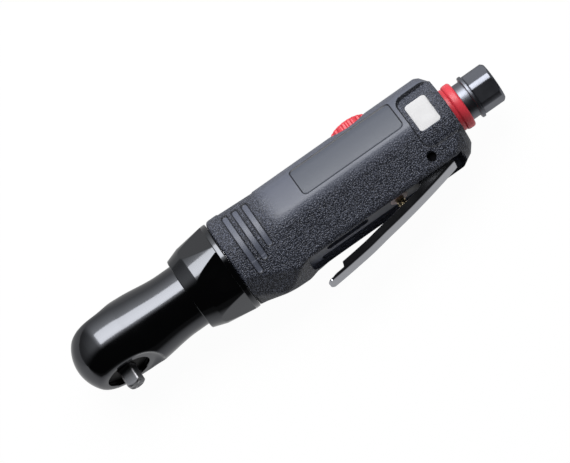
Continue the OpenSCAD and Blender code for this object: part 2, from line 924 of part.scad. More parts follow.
module inlet_bushing() {
    hex_r = inlet_flats / sqrt(3);
    hex_turn = 90 + inlet_hex_turn;
    hex_x = inlet_flange_x[0] + 0.8;
    seal_x = [160.3, 161.7];
    seal_r = inlet_thread_r - 1.1;
    color(black_steel) difference() {
        union() {
            along_x() rotate_extrude() polygon([
                [0, inlet_front], [inlet_thread_r - 0.6, inlet_front], [inlet_thread_r, inlet_front + 0.6],
                [inlet_thread_r, seal_x[0]], [seal_r, seal_x[0]], [seal_r, seal_x[1]],
                [inlet_thread_r, seal_x[1]], [inlet_thread_r, grip_rear], [journal_r, grip_rear],
                [journal_r, inlet_flange_x[0]], [inlet_flange_r, inlet_flange_x[0]],
                [inlet_flange_r, inlet_flange_x[1]], [0, inlet_flange_x[1]]
            ]);
            intersection() {
                along_x(hex_x) linear_extrude(inlet_end - hex_x) polygon([
                    for (turn = [0 : 60 : 300])
                        [hex_r * cos(turn + hex_turn), hex_r * sin(turn + hex_turn)]
                ]);
                along_x() rotate_extrude() polygon([
                    [0, hex_x - 1], [hex_r + 1, hex_x - 1], [hex_r + 1, inlet_end - 2],
                    [hex_r - 1.5, inlet_end + 0.1], [0, inlet_end + 0.1]
                ]);
            }
        }
        along_x() rotate_extrude() polygon([
            [0, inlet_front - 1], [air_way_r, inlet_front - 1], [air_way_r, screen_x],
            [screen_r, screen_x], [screen_r, inlet_hole_x], [inlet_hole_r, inlet_hole_x],
            [inlet_hole_r, inlet_end - 0.6], [inlet_hole_r + 1, inlet_end + 0.4], [0, inlet_end + 0.4]
        ]);
    }
}

module inlet_o_ring() {
    color(rubber) along_x(161) rotate_extrude()
        translate([inlet_thread_r - 0.53, 0]) circle(0.5, $fn = 24);
}

module inlet_screen() {
    color(bright_steel) difference() {
        rod_x(screen_x, inlet_hole_x - 0.1, screen_r - seat_gap);
        rod_x(screen_x + 0.5, inlet_hole_x, screen_r - 0.7);
    }
}

module exhaust_ring() {
    small = exhaust_r[0];
    large = exhaust_r[1];
    color(signal_red) along_x() rotate_extrude() difference() {
        union() {
            polygon([
                [journal_r + seat_gap, exhaust_x[0]], [small + 0.4, exhaust_x[0]], [small, exhaust_x[0] + 0.9],
                [small, exhaust_x[1]], [large - exhaust_round, exhaust_x[1]],
                [large, exhaust_x[1] + exhaust_round], [large, exhaust_x[2] - exhaust_round],
                [large - exhaust_round, exhaust_x[2]], [journal_r + seat_gap, exhaust_x[2]]
            ]);
            for (x = [exhaust_x[1] + exhaust_round, exhaust_x[2] - exhaust_round]) {
                translate([large - exhaust_round, x]) circle(exhaust_round);
            }
        }
        translate([0, exhaust_x[0]]) square([journal_r + seat_gap, 20]);
    }
}

ratchet_head();
drive_spindle();
socket_ball();
ratchet_yoke();
ratchet_pawl();
pawl_pin();
reverse_dial();
thrust_washer();
head_cover();
head_snap_ring();
yoke_bush();
crank_shaft();
crank_bearing();
planet_pins();
planet_gear_1();
planet_gear_2();
planet_gear_3();
ring_gear();
clamp_nut();
motor_front_plate();
motor_front_bearing();
motor_cylinder();
motor_rotor();
motor_vanes();
motor_rear_plate();
motor_rear_bearing();
grip_housing();
throttle_lever();
lever_pin();
valve_stem();
valve_bush();
valve_spring();
stem_o_ring();
regulator_dial();
regulator_o_ring();
inlet_bushing();
inlet_o_ring();
inlet_screen();
exhaust_ring();
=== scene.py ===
"""Looks of a small air ratchet that lies on its side on a white table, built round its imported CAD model."""

import json
import math

import bmesh
import bpy
import numpy as np
from mathutils import Matrix


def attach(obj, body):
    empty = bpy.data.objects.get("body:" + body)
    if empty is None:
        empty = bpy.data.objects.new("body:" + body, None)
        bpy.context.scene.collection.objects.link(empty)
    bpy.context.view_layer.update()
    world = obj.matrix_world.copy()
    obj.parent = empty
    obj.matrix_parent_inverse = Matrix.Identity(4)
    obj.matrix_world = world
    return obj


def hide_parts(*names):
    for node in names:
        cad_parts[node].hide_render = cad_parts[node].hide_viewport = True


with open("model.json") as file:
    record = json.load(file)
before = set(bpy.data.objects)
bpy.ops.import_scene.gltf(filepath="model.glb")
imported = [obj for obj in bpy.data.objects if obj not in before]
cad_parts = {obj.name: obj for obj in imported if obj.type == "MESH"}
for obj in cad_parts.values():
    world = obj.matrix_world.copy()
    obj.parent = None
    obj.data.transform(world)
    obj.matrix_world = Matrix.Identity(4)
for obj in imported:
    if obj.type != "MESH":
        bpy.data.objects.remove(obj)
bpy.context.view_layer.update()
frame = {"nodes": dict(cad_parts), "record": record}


# Ratchet head and neck
# One steel forging, ground smooth and plated a deep gloss black. The round head blends into the
# neck, and the drive side is spot-faced round the bored drive hole.

MM = 0.001
CREASE = math.radians(40.0)
WELD, SLIVER = 2e-6, 1e-7
NOISE_RANGE = (0.3, 0.7)

HEAD_R = 17.7
HEAD_BACK, BACK_FILLET = 14.0, 4.0
HEAD_FACE, FACE_FILLET = -12.5, 1.6
SPOT_FACE_R, SPOT_FACE_FILLET, SPOT_FACE_EDGE = 15.5, 3.5, 0.7
DRIVE_HOLE_R = 9.7
COVER_BORE_R, COVER_SEAT, COVER_CUT_END = 12.5, 6.0, 30.0
SNAP_GROOVE_R, SNAP_GROOVE_LOW, SNAP_GROOVE_HIGH = 13.2, 8.8, 9.9
NECK_R, SHOULDER_R, NECK_BLEND = 14.35, 16.3, 5.0
NECK_START, NECK_END = -4.0, 41.0
DOME_X, RAY_END = 6.0, 40.0


def soft_min(a, b, k):
    """Smaller of two fields, with the crease between them rounded over a width k."""
    h = np.clip(0.5 + 0.5 * (b - a) / k, 0.0, 1.0)
    return b * (1.0 - h) + a * h - k * h * (1.0 - h)


def soft_max(a, b, k):
    """Larger of two fields, with the crease between them rounded over a width k."""
    return -soft_min(-a, -b, k)


def round_corner(a, b, r):
    """Distance to the corner where two half spaces meet, filleted with radius r."""
    outside = np.hypot(np.maximum(a + r, 0.0), np.maximum(b + r, 0.0))
    return np.minimum(np.maximum(a, b), -r) + outside


def ease(a, b, x):
    """Smooth step from 0 at a to 1 at b."""
    t = np.clip((x - a) / (b - a), 0.0, 1.0)
    return t * t * (3.0 - 2.0 * t)


def head_field(x, y, z):
    """Signed distance to the forging: a ball cut flat on the drive side and at the back, blended into a round
    neck on the barrel axis, less the spot face on the drive side."""
    across = np.hypot(x, z)
    bulb = np.sqrt(x ** 2 + y ** 2 + z ** 2) - HEAD_R
    bulb = round_corner(bulb, y - HEAD_BACK, BACK_FILLET)
    bulb = round_corner(bulb, HEAD_FACE - y, FACE_FILLET)
    neck_r = SHOULDER_R + (NECK_R - SHOULDER_R) * ease(11.0, 32.0, x) - 5.0 * ease(9.0, -6.0, x)
    neck = np.maximum(np.hypot(y, z) - neck_r, NECK_START - x)
    body = soft_min(bulb, neck, NECK_BLEND)
    spot_face = round_corner(across - SPOT_FACE_R, y - HEAD_FACE, SPOT_FACE_FILLET)
    return soft_max(body, -spot_face, SPOT_FACE_EDGE)


def reach(field, origin, direction):
    """Point on each ray where the field changes from inside to outside, by halving the interval."""
    low = np.zeros(direction.shape[:-1])
    high = np.full(direction.shape[:-1], RAY_END)
    for _ in range(34):
        mid = 0.5 * (low + high)
        point = origin + mid[..., None] * direction
        inside = field(point[..., 0], point[..., 1], point[..., 2]) < 0.0
        low = np.where(inside, mid, low)
        high = np.where(inside, high, mid)
    return origin + (0.5 * (low + high))[..., None] * direction


def skin(name, points, wrap=True, close_ends=False):
    """Makes an object from a grid of points in millimetres: rows by columns, quads between them. Columns may
    wrap round, and each end row may be closed with a fan to its centre. Faces are turned outwards."""
    rows, columns, _ = points.shape
    i = np.arange(rows - 1)[:, None] * columns
    j = np.arange(columns if wrap else columns - 1)[None, :]
    k = (j + 1) % columns
    quads = np.stack([i + j, i + columns + j, i + columns + k, i + k], axis=-1).reshape(-1, 4)
    verts = points.reshape(-1, 3)
    faces = quads.tolist()
    if close_ends:
        count = len(verts)
        verts = np.vstack([verts, points[0].mean(axis=0), points[-1].mean(axis=0)])
        last = (rows - 1) * columns
        ring, after = j.ravel(), k.ravel()
        faces += np.stack([np.full_like(ring, count), ring, after], axis=-1).tolist()
        faces += np.stack([np.full_like(ring, count + 1), last + after, last + ring], axis=-1).tolist()
    mesh = bpy.data.meshes.new(name)
    mesh.from_pydata((verts * MM).tolist(), [], faces)
    piece = bpy.data.objects.new(name, mesh)
    bpy.context.scene.collection.objects.link(piece)
    tidy(mesh)
    return piece


def shade(mesh):
    """Shades a mesh smooth, except across edges sharper than the crease angle."""
    mesh.polygons.foreach_set("use_smooth", np.ones(len(mesh.polygons), bool))
    mesh.set_sharp_from_angle(angle=CREASE)


def tidy(mesh):
    """Merges doubles, turns faces outwards and shades the mesh."""
    work = bmesh.new()
    work.from_mesh(mesh)
    bmesh.ops.remove_doubles(work, verts=work.verts, dist=WELD)
    bmesh.ops.dissolve_degenerate(work, edges=work.edges, dist=SLIVER)
    bmesh.ops.recalc_face_normals(work, faces=work.faces)
    work.to_mesh(mesh)
    work.free()
    shade(mesh)


def carve(piece, cutters):
    """Takes the cutters' volume out of a piece and removes them."""
    for cutter in cutters:
        cut = piece.modifiers.new("cut", "BOOLEAN")
        cut.operation = "DIFFERENCE"
        cut.solver = "EXACT"
        cut.object = cutter
    result = piece.evaluated_get(bpy.context.evaluated_depsgraph_get())
    mesh = bpy.data.meshes.new_from_object(result)
    piece.modifiers.clear()
    plain = piece.data
    piece.data = mesh
    bpy.data.meshes.remove(plain)
    for cutter in cutters:
        bpy.data.meshes.remove(cutter.data)
    mesh.materials.clear()
    shade(mesh)


def full_turn(columns):
    """Evenly spaced angles round a full turn."""
    return np.linspace(0.0, 2.0 * np.pi, columns, endpoint=False)


def about_x(x, r, turn):
    """Points about the barrel axis: x along it, and a radius turned from +Z towards +Y."""
    x, r, turn = np.broadcast_arrays(x, r, turn)
    return np.stack([x, r * np.sin(turn), r * np.cos(turn)], axis=-1)


def about_y(y, r, turn, centre_x=0.0):
    """Points about an axis along Y at centre_x: y along it, and a radius turned from +X towards +Z."""
    y, r, turn = np.broadcast_arrays(y, r, turn)
    return np.stack([centre_x + r * np.cos(turn), y, r * np.sin(turn)], axis=-1)


def spun_y(profile, centre_x=0.0, columns=96):
    """Turns a profile of (y, radius) rows about an axis that runs along Y at centre_x."""
    return about_y(profile[:, :1], profile[:, 1:], full_turn(columns), centre_x)


def plug_y(name, r, y0, y1, centre_x=0.0):
    """A round cutter of radius r about an axis along Y, from y0 to y1."""
    return skin(name, spun_y(np.array([[y0, r], [y1, r]]), centre_x), close_ends=True)


around = full_turn(300)
dome = np.linspace(np.pi, 0.5 * np.pi, 70)
dome_way = about_x(np.cos(dome)[:, None], np.sin(dome)[:, None], around)
dome_start = np.zeros_like(dome_way) + [DOME_X, 0.0, 0.0]
stations = np.concatenate([np.linspace(6.4, 24.0, 60), np.linspace(24.6, NECK_END, 24)])
neck_way = about_x(np.zeros((len(stations), 1)), 1.0, around)
neck_start = np.zeros_like(neck_way)
neck_start[..., 0] = stations[:, None]
head_skin = np.concatenate([reach(head_field, dome_start, dome_way), reach(head_field, neck_start, neck_way)])
head_skin[0] = head_skin[0].mean(axis=0)
head = skin("head_forging", np.concatenate([head_skin, head_skin[-1:] * [1.0, 0.75, 0.75]]), close_ends=True)
rim_cut = spun_y(np.array([[-16.0, 11.4], [-12.9, 10.15], [-12.1, DRIVE_HOLE_R], [-9.9, DRIVE_HOLE_R]]))
carve(head, [
    skin("drive_hole_cut", rim_cut, close_ends=True),
    plug_y("cover_bore_cut", COVER_BORE_R, COVER_SEAT, COVER_CUT_END),
    plug_y("snap_groove_cut", SNAP_GROOVE_R, SNAP_GROOVE_LOW, SNAP_GROOVE_HIGH),
])


def new_finish(name, colour, roughness, metallic=0.0):
    """Starts a material: returns it with its node tree and its Principled shader."""
    finish = bpy.data.materials.new(name)
    finish.use_nodes = True
    tree = finish.node_tree
    shader = tree.nodes["Principled BSDF"]
    shader.inputs["Base Color"].default_value = (*colour, 1.0)
    shader.inputs["Roughness"].default_value = roughness
    shader.inputs["Metallic"].default_value = metallic
    return finish, tree, shader


def add_node(tree, kind, **settings):
    """Adds a node, setting its properties by name and its inputs by a dictionary."""
    node = tree.nodes.new(kind)
    inputs = settings.pop("inputs", {})
    for name, value in settings.items():
        setattr(node, name, value)
    for socket, value in inputs.items():
        node.inputs[socket].default_value = value
    return node


def handling_group():
    """Node group for handled, shop-worn surfaces: a broad smudge mask, and a fine height for the
    slight unevenness that bends reflections."""
    group = bpy.data.node_groups.new("handling_marks", "ShaderNodeTree")
    group.interface.new_socket("Smudge Scale", in_out="INPUT", socket_type="NodeSocketFloat")
    group.interface.new_socket("Ripple Scale", in_out="INPUT", socket_type="NodeSocketFloat")
    group.interface.new_socket("Smudge", in_out="OUTPUT", socket_type="NodeSocketFloat")
    group.interface.new_socket("Ripple", in_out="OUTPUT", socket_type="NodeSocketFloat")
    entry = group.nodes.new("NodeGroupInput")
    leave = group.nodes.new("NodeGroupOutput")
    place = group.nodes.new("ShaderNodeTexCoord")
    smudge = add_node(group, "ShaderNodeTexNoise", inputs={
        "Detail": 5.0, "Roughness": 0.6, "Distortion": 0.4})
    ripple = add_node(group, "ShaderNodeTexNoise", inputs={"Detail": 2.0, "Roughness": 0.5})
    group.links.new(place.outputs["Object"], smudge.inputs["Vector"])
    group.links.new(place.outputs["Object"], ripple.inputs["Vector"])
    group.links.new(entry.outputs["Smudge Scale"], smudge.inputs["Scale"])
    group.links.new(entry.outputs["Ripple Scale"], ripple.inputs["Scale"])
    group.links.new(smudge.outputs["Fac"], leave.inputs["Smudge"])
    group.links.new(ripple.outputs["Fac"], leave.inputs["Ripple"])
    return group


handling = handling_group()


def ranged(tree, source, target, smooth=False):
    """Adds a node that maps a source range onto a target range, evenly or with eased ends."""
    kind = "SMOOTHSTEP" if smooth else "LINEAR"
    return add_node(tree, "ShaderNodeMapRange", interpolation_type=kind, inputs={
        "From Min": source[0], "From Max": source[1], "To Min": target[0], "To Max": target[1]})


def handled(name, colour, rough, smudge_scale, ripple_scale, ripple_depth, metallic=0.0):
    """A shop-worn finish: smudges move the roughness between two values, and a ripple bends the normal."""
    finish, tree, shader = new_finish(name, colour, rough[0], metallic)
    marks = tree.nodes.new("ShaderNodeGroup")
    marks.node_tree = handling
    marks.inputs["Smudge Scale"].default_value = smudge_scale
    marks.inputs["Ripple Scale"].default_value = ripple_scale
    spread = ranged(tree, NOISE_RANGE, rough)
    bump = add_node(tree, "ShaderNodeBump", inputs={"Strength": 1.0, "Distance": ripple_depth})
    tree.links.new(marks.outputs["Smudge"], spread.inputs["Value"])
    tree.links.new(spread.outputs["Result"], shader.inputs["Roughness"])
    tree.links.new(marks.outputs["Ripple"], bump.inputs["Height"])
    tree.links.new(bump.outputs["Normal"], shader.inputs["Normal"])
    return finish


black_plate = handled(
    "gloss_black_plating", (0.104, 0.107, 0.116), (0.08, 0.15), 60.0, 900.0, 0.000005, metallic=1.0)
head.data.materials.append(black_plate)
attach(head, "tool_body")
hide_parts("ratchet_head")


# Square drive spindle
# Hardened steel, turned round where it runs in the head and milled square where the socket goes
# on. The square is ground bright; the round shoulder, deep in the head's drive hole, has painted shade.

DRIVE_HALF, CORNER_R = 6.35 / 2.0, 4.28
DRIVE_END = -19.3
SPINDLE_FACE = -10.2
SQUARE_TURN = math.radians(15.0)
WINDOW_HALF_X, WINDOW_Z, WINDOW_HALF_Y = 7.6, 2.2, 4.6
SELECTOR_BORE_R, SELECTOR_BORE_LOW = 3.06, 0.8
CUT_END = 20.0

square_rows = np.concatenate([
    [SPINDLE_FACE, -10.35, -10.8], np.linspace(-11.4, -18.4, 26), [-18.75, -19.05, -19.22, DRIVE_END]])
turn = full_turn(240)
corner = (turn - SQUARE_TURN + np.pi / 4.0) % (np.pi / 2.0) - np.pi / 4.0
flat_r = DRIVE_HALF / np.cos(corner)
round_r = soft_min(flat_r, np.full_like(flat_r, CORNER_R), 0.35)
end_taper = 4.3 - 0.95 * ease(-18.1, DRIVE_END, square_rows)
end_taper -= 0.25 * ease(-19.0, DRIVE_END, square_rows)
root_flare = 0.5 * ease(-11.2, SPINDLE_FACE, square_rows)
square_r = soft_min(round_r[None, :], end_taper[:, None], 0.25) + root_flare[:, None]
upper = np.array([
    [8.6, 0.0], [8.6, 6.9], [8.4, 7.12], [6.1, 7.12], [6.1, 8.8], [5.9, 9.0], [-7.0, 9.0], [-7.0, 9.6],
    [-9.9, 9.62], [SPINDLE_FACE, 9.3], [SPINDLE_FACE, 7.0], [SPINDLE_FACE, 5.4]])
spindle_y = np.concatenate([upper[:, 0], square_rows, np.full(3, DRIVE_END)])
end_face = square_r[-1] * np.array([0.96, 0.5, 0.0])[:, None]
spindle_r = np.concatenate([upper[:, 1, None] + 0.0 * turn, square_r, end_face])
spindle = skin("square_drive", about_y(spindle_y[:, None], spindle_r, turn))


def slab(name, outline, y0, y1):
    """A flat cutter: an outline of (x, z) points carried from y0 to y1."""
    ring = np.array(outline)
    x, y, z = np.broadcast_arrays(ring[:, 0], np.array([[y0], [y1]]), ring[:, 1])
    return skin(name, np.stack([x, y, z], axis=-1), close_ends=True)


def rounded_outline(x0, x1, z0, z1, r, steps=8):
    """Outline of a rectangle with round corners, corner by corner."""
    bend = np.linspace(0.0, np.pi / 2.0, steps)
    centres = [
        (x1 - r, z1 - r, 0.0), (x0 + r, z1 - r, 0.5), (x0 + r, z0 + r, 1.0), (x1 - r, z0 + r, 1.5)]
    return np.concatenate([
        np.stack([cx + r * np.cos(bend + part * np.pi), cz + r * np.sin(bend + part * np.pi)], axis=-1)
        for cx, cz, part in centres])


window = rounded_outline(-WINDOW_HALF_X, WINDOW_HALF_X, WINDOW_Z, CUT_END, 0.3)
carve(spindle, [
    slab("pawl_window_cut", window, -WINDOW_HALF_Y, WINDOW_HALF_Y),
    plug_y("selector_bore_cut", SELECTOR_BORE_R, SELECTOR_BORE_LOW, CUT_END),
])


def points_of(mesh):
    """Places of a mesh's vertices in millimetres, one row each."""
    places = np.empty(len(mesh.vertices) * 3)
    mesh.vertices.foreach_get("co", places)
    return places.reshape(-1, 3) / MM


def store(mesh, name, values):
    """Keeps one value per vertex as a named attribute for the material."""
    layer = mesh.attributes.new(name, "FLOAT", "POINT")
    layer.data.foreach_set("value", values.astype(np.float32))


# The square's corners are marked to be coloured brighter: real edge wear together with a painted highlight.
places = points_of(spindle.data)
off_flat = np.arctan2(places[:, 2], places[:, 0]) - SQUARE_TURN + np.pi / 4.0
off_flat = np.abs(off_flat % (np.pi / 2.0) - np.pi / 4.0)
on_square = places[:, 1] < -11.2
store(spindle.data, "worn_and_highlit_corners", ease(0.6, 0.72, off_flat) * on_square)


MIX_SHARE, MIX_LOW, MIX_HIGH, MIX_COLOUR = 0, 6, 7, 2


def colour_mix(tree, low=None, high=None):
    """Adds a node that mixes two colours. A colour that is linked later is left out."""
    mix = add_node(tree, "ShaderNodeMix", data_type="RGBA")
    for socket, colour in ((MIX_LOW, low), (MIX_HIGH, high)):
        if colour:
            mix.inputs[socket].default_value = (*colour, 1.0)
    return mix


def ground_steel(name, colour, rough, stretch):
    """Bright metal with fine cutting lines: noise drawn out along one axis, in roughness, colour and bump."""
    finish, tree, shader = new_finish(name, colour, rough[0], metallic=1.0)
    place = tree.nodes.new("ShaderNodeTexCoord")
    draw_out = add_node(tree, "ShaderNodeMapping", inputs={"Scale": stretch})
    lines = add_node(tree, "ShaderNodeTexNoise", inputs={"Scale": 1.0, "Detail": 4.0, "Roughness": 0.7})
    spread = ranged(tree, NOISE_RANGE, rough)
    tint = colour_mix(tree, [c * 0.72 for c in colour], colour)
    bump = add_node(tree, "ShaderNodeBump", inputs={"Strength": 0.6, "Distance": 0.00004})
    tree.links.new(place.outputs["Object"], draw_out.inputs["Vector"])
    tree.links.new(draw_out.outputs["Vector"], lines.inputs["Vector"])
    tree.links.new(lines.outputs["Fac"], spread.inputs["Value"])
    tree.links.new(lines.outputs["Fac"], tint.inputs[MIX_SHARE])
    tree.links.new(spread.outputs["Result"], shader.inputs["Roughness"])
    tree.links.new(tint.outputs[MIX_COLOUR], shader.inputs["Base Color"])
    tree.links.new(lines.outputs["Fac"], bump.inputs["Height"])
    tree.links.new(bump.outputs["Normal"], shader.inputs["Normal"])
    return finish, tree, shader


drive_steel, tree, shader = ground_steel(
    "ground_drive_steel", (0.27, 0.275, 0.292), (0.42, 0.6), (1500.0, 700.0, 1500.0))
place = tree.nodes.new("ShaderNodeTexCoord")
apart = tree.nodes.new("ShaderNodeSeparateXYZ")
# Painted shade: the round shoulder inside the head's drive hole is coloured near black for the shadow there.
shoulder = ranged(tree, (-10.9 * MM, -10.4 * MM), (0.0, 1.0))
painted_bore_shade = colour_mix(tree, high=(0.012, 0.012, 0.013))
# Brighter colour on the corners: edge wear and a painted highlight.
worn_and_highlit_corners = add_node(tree, "ShaderNodeAttribute", attribute_name="worn_and_highlit_corners")
corner_wear_and_painted_highlight = colour_mix(tree, high=(0.6, 0.6, 0.62))
ground_tint = shader.inputs["Base Color"].links[0].from_socket
tree.links.new(worn_and_highlit_corners.outputs["Fac"], corner_wear_and_painted_highlight.inputs[MIX_SHARE])
tree.links.new(ground_tint, corner_wear_and_painted_highlight.inputs[MIX_LOW])
tree.links.new(place.outputs["Object"], apart.inputs["Vector"])
tree.links.new(apart.outputs["Y"], shoulder.inputs["Value"])
tree.links.new(shoulder.outputs["Result"], painted_bore_shade.inputs[MIX_SHARE])
tree.links.new(corner_wear_and_painted_highlight.outputs[MIX_COLOUR], painted_bore_shade.inputs[MIX_LOW])
tree.links.new(painted_bore_shade.outputs[MIX_COLOUR], shader.inputs["Base Color"])
spindle.data.materials.append(drive_steel)
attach(spindle, "spindle")
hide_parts("drive_spindle")


# Clamp nut
# A tapered steel nut turned on its cone, then milled with six wrench flats that run out in curved
# edges. It draws the head against the gear case, and has the head's gloss black plating.

NUT_FLAT = 36.8 / 2.0
NUT_LEAN = math.radians(6.5)
NUT_RIM = 57.8
cone_x = np.concatenate([np.linspace(39.2, 44.6, 22), np.linspace(44.9, NUT_RIM, 84)])
cone_r = np.interp(cone_x, [39.2, 44.8, NUT_RIM], [16.75, 18.65, 20.45])
lip = [
    [41.0, 14.35], [38.75, 14.35], [38.6, 14.4], [38.5, 14.6], [38.5, 15.4], [38.5, 16.1], [38.56, 16.35],
    [38.72, 16.56], [38.95, 16.68]]
rim = [
    [57.95, 20.35], [58.05, 20.45], [58.2, 20.5], [59.0, 20.5], [59.7, 20.5], [59.95, 20.44], [60.1, 20.3],
    [60.18, 20.1], [60.2, 19.9], [60.2, 15.6]]
bore = [[44.0, 15.6], [44.0, 14.35], [41.0, 14.35]]
nut_x, nut_r = np.concatenate([lip, np.stack([cone_x, cone_r], axis=-1), rim, bore]).T
turn = full_turn(480)
sector = (turn - NUT_LEAN - np.pi / 2.0 + np.pi / 6.0) % (np.pi / 3.0) - np.pi / 6.0
flat_r = NUT_FLAT / np.cos(sector)
on_cone = ((nut_x > 38.6) & (nut_x < NUT_RIM + 0.05) & (nut_r > 16.5))[:, None]
nut_skin_r = np.where(on_cone, soft_min(nut_r[:, None], flat_r, 0.1), nut_r[:, None])
nut = skin("tapered_nut", about_x(nut_x[:, None], nut_skin_r, turn))

nut_plate = handled(
    "nut_black_plating", (0.1, 0.103, 0.111), (0.08, 0.16), 90.0, 1300.0, 0.000004, metallic=1.0)
nut.data.materials.append(nut_plate)
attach(nut, "tool_body")
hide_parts("clamp_nut")


# Grip housing
# Glass-filled plastic moulded over the motor. The round barrel runs into a body with smooth label
# facets above and grained flanks below, and the lever's channel and its rims are underneath.

GRIP_FRONT, GRIP_REAR = 60.4, 170.0
GRIP_R, FACET_D = 20.0, 18.9
LABEL_TURN, FLANK_TURN, STOP_TURN = math.radians(15.0), math.radians(-33.0), math.radians(-62.0)
FRONT_MOUTH_R, REAR_MOUTH_R = 15.5, 8.4
STOP_REAR = 90.0
VALVE_X, BUSH_BORE_R, BUSH_SEAT, DIAL_POCKET_R, DIAL_SEAT = 132.2, 4.25, -9.2, 9.75, 11.5
PIN_X, PIN_Y, PIN_BORE_R = 152.5, -15.9, 2.05
ROW_GAP, SKIN_DEPTH = 0.04, 0.8
GRAZING, NO_HIT, NO_EDGE = 0.05, 400.0, 9.0

# Grooves: x and the angle of the lower end. Boxes: x from and to, height from and to, corner radius.
GROOVES = ((68.5, -45.0), (73.2, -35.0), (78.0, -25.0))
GROOVE_HALF, GROOVE_DEPTH, GROOVE_TOP = 1.45, 0.85, 39.0
PANEL, PANEL_DEPTH = (100.8, 150.4, -6.1, 9.2, 2.0), 0.5
POCKET, POCKET_R = (152.5, 195.0, -14.0, 12.1, 4.5), 18.4
PLATE, PLATE_Z = (154.5, 164.9, -6.9, 6.9, 1.6), 16.7
SCALLOP_Y, SCALLOP_R = 30.0, 14.5
REAR_BEVEL_X, REAR_BEVEL_RUN, REAR_BEVEL = 167.4, 2.6, 1.9

# Places along the barrel where the skin needs closer rows, each with half the width of the zone.
SEAMS = (
    (61.2, 0.8), (66.9, 0.45), (67.15, 0.3), (69.85, 0.3), (71.85, 0.3), (74.55, 0.3), (76.65, 0.3),
    (79.35, 0.3), (83.8, 0.45), (100.9, 0.45), (150.3, 0.45), (152.5, 0.45), (154.6, 0.3), (164.8, 0.3))

# Cuts under the grip: x from and to, z from and to, corner radius, lower and upper y.
UNDER_CUTS = {
    "ear_pocket_cut": (142.5, 164.2, -7.85, 7.85, 1.5, -40.0, -11.2),
    "channel_cut": (86.6, 164.5, -8.0, 8.0, 4.0, -40.0, -18.3),
    "near_leg_cut": (92.1, 149.3, 4.57, 7.63, 1.1, -41.0, -14.23),
    "far_leg_cut": (92.1, 149.3, -7.63, -4.57, 1.1, -41.0, -14.23),
    "floor_slot_cut": (96.0, 116.8, -2.0, 2.0, 1.95, -42.0, -15.8),
}


def near(value, half, step=0.15):
    """Evenly stepped values from half below a value to half above it."""
    return np.arange(value - half, value + half + 1e-6, step)


seam_rows = [near(x, half) for x, half in SEAMS]
grip_x = np.concatenate([np.linspace(GRIP_FRONT, GRIP_REAR, 176), *seam_rows, near(168.0, 0.9, 0.3)])
grip_x = np.unique(np.round(grip_x, 3))
grip_x = grip_x[(grip_x >= GRIP_FRONT) & (grip_x <= GRIP_REAR)]
grip_x = grip_x[np.append(np.diff(grip_x) > ROW_GAP, True)]
turn = np.linspace(-np.pi, np.pi, 396, endpoint=False)
gx = grip_x[:, None] + 0.0 * turn
side = np.arctan2(np.sin(turn), np.abs(np.cos(turn)))[None, :] + 0.0 * gx


def facet(distance, direction):
    """Radius at which a ray from the barrel axis meets a flat, whose normal is turned up by direction: the
    flat's distance divided by the cosine of the angle between them."""
    lean = np.cos(side - direction)
    return np.where(lean > GRAZING, distance / np.maximum(lean, GRAZING), NO_HIT)


def profile(*rows):
    """Value at each station along the barrel, on straight lines between (x, value) rows."""
    x, value = np.array(rows).T
    return np.interp(gx, x, value)


# The plain body: a barrel with label facets and flanks, and the finger stop and the underside below.
barrel = profile(
    (GRIP_FRONT, 18.9), (60.55, 19.5), (60.9, 20.1), (61.4, 20.55), (62.1, 20.74), (62.8, 20.78),
    (66.4, 20.78), (66.9, 20.4), (83.55, 19.7), (83.95, GRIP_R), (GRIP_REAR, GRIP_R))
label_d = FACET_D + 1.0 * ease(96.0, 72.0, gx)
flank_d = np.minimum(barrel + 0.02, FACET_D + 1.7 * ease(100.0, 66.0, gx))
stop_d = profile((GRIP_FRONT, 19.9), (64.0, 20.25), (78.0, 22.8), (87.0, 24.2), (88.5, 40.0))
depth = profile(
    (GRIP_FRONT, 19.0), (61.1, 19.6), (63.4, 20.4), (71.0, 23.75), (72.4, 24.2), (75.8, 24.2), (77.2, 23.85),
    (87.8, 20.5), (GRIP_REAR, 20.5))
across_label = np.tan(np.clip(side - LABEL_TURN, -1.2, 1.2)) * FACET_D / 8.0
label_crown = 0.55 * np.clip(across_label, -1.6, 1.6) ** 2
label_r = facet(label_d + 0.25, LABEL_TURN) - label_crown
upper_r = soft_min(soft_min(barrel, label_r, 0.3), facet(flank_d, FLANK_TURN), 0.9)
under_round = 0.6 + 1.6 * ease(88.0, 94.0, gx)
lower_r = soft_min(facet(flank_d, FLANK_TURN), facet(stop_d, STOP_TURN), 0.6)
lower_r = soft_min(lower_r, facet(depth, -np.pi / 2.0), under_round)
lower_r = np.where(gx < STOP_REAR, np.maximum(lower_r, np.minimum(upper_r, depth)), lower_r)
grip_r = np.where(side < FLANK_TURN, lower_r, upper_r)
rear_round = profile((150.0, 30.0), (159.5, 23.6), (165.0, 20.25), (GRIP_REAR, 17.6))
grip_r = soft_min(grip_r, rear_round, 0.4)


def box_field(u, v, u0, u1, v0, v1, r):
    """Signed distance to a rectangle with rounded corners."""
    du = np.abs(u - 0.5 * (u0 + u1)) - 0.5 * (u1 - u0) + r
    dv = np.abs(v - 0.5 * (v0 + v1)) - 0.5 * (v1 - v0) + r
    return np.hypot(np.maximum(du, 0.0), np.maximum(dv, 0.0)) + np.minimum(np.maximum(du, dv), 0.0) - r


# Recesses: each mask is 1 in the recess, and each edge is the distance from its outline.
groove_edge = np.full_like(gx, NO_EDGE)
for groove_x, groove_low in GROOVES:
    along = np.clip(side, math.radians(groove_low), math.radians(GROOVE_TOP))
    from_line = np.hypot(gx - groove_x, (side - along) * GRIP_R)
    groove_edge = np.minimum(groove_edge, from_line - GROOVE_HALF)
groove_mask = ease(0.0, -0.45, groove_edge)
grip_r -= GROOVE_DEPTH * groove_mask

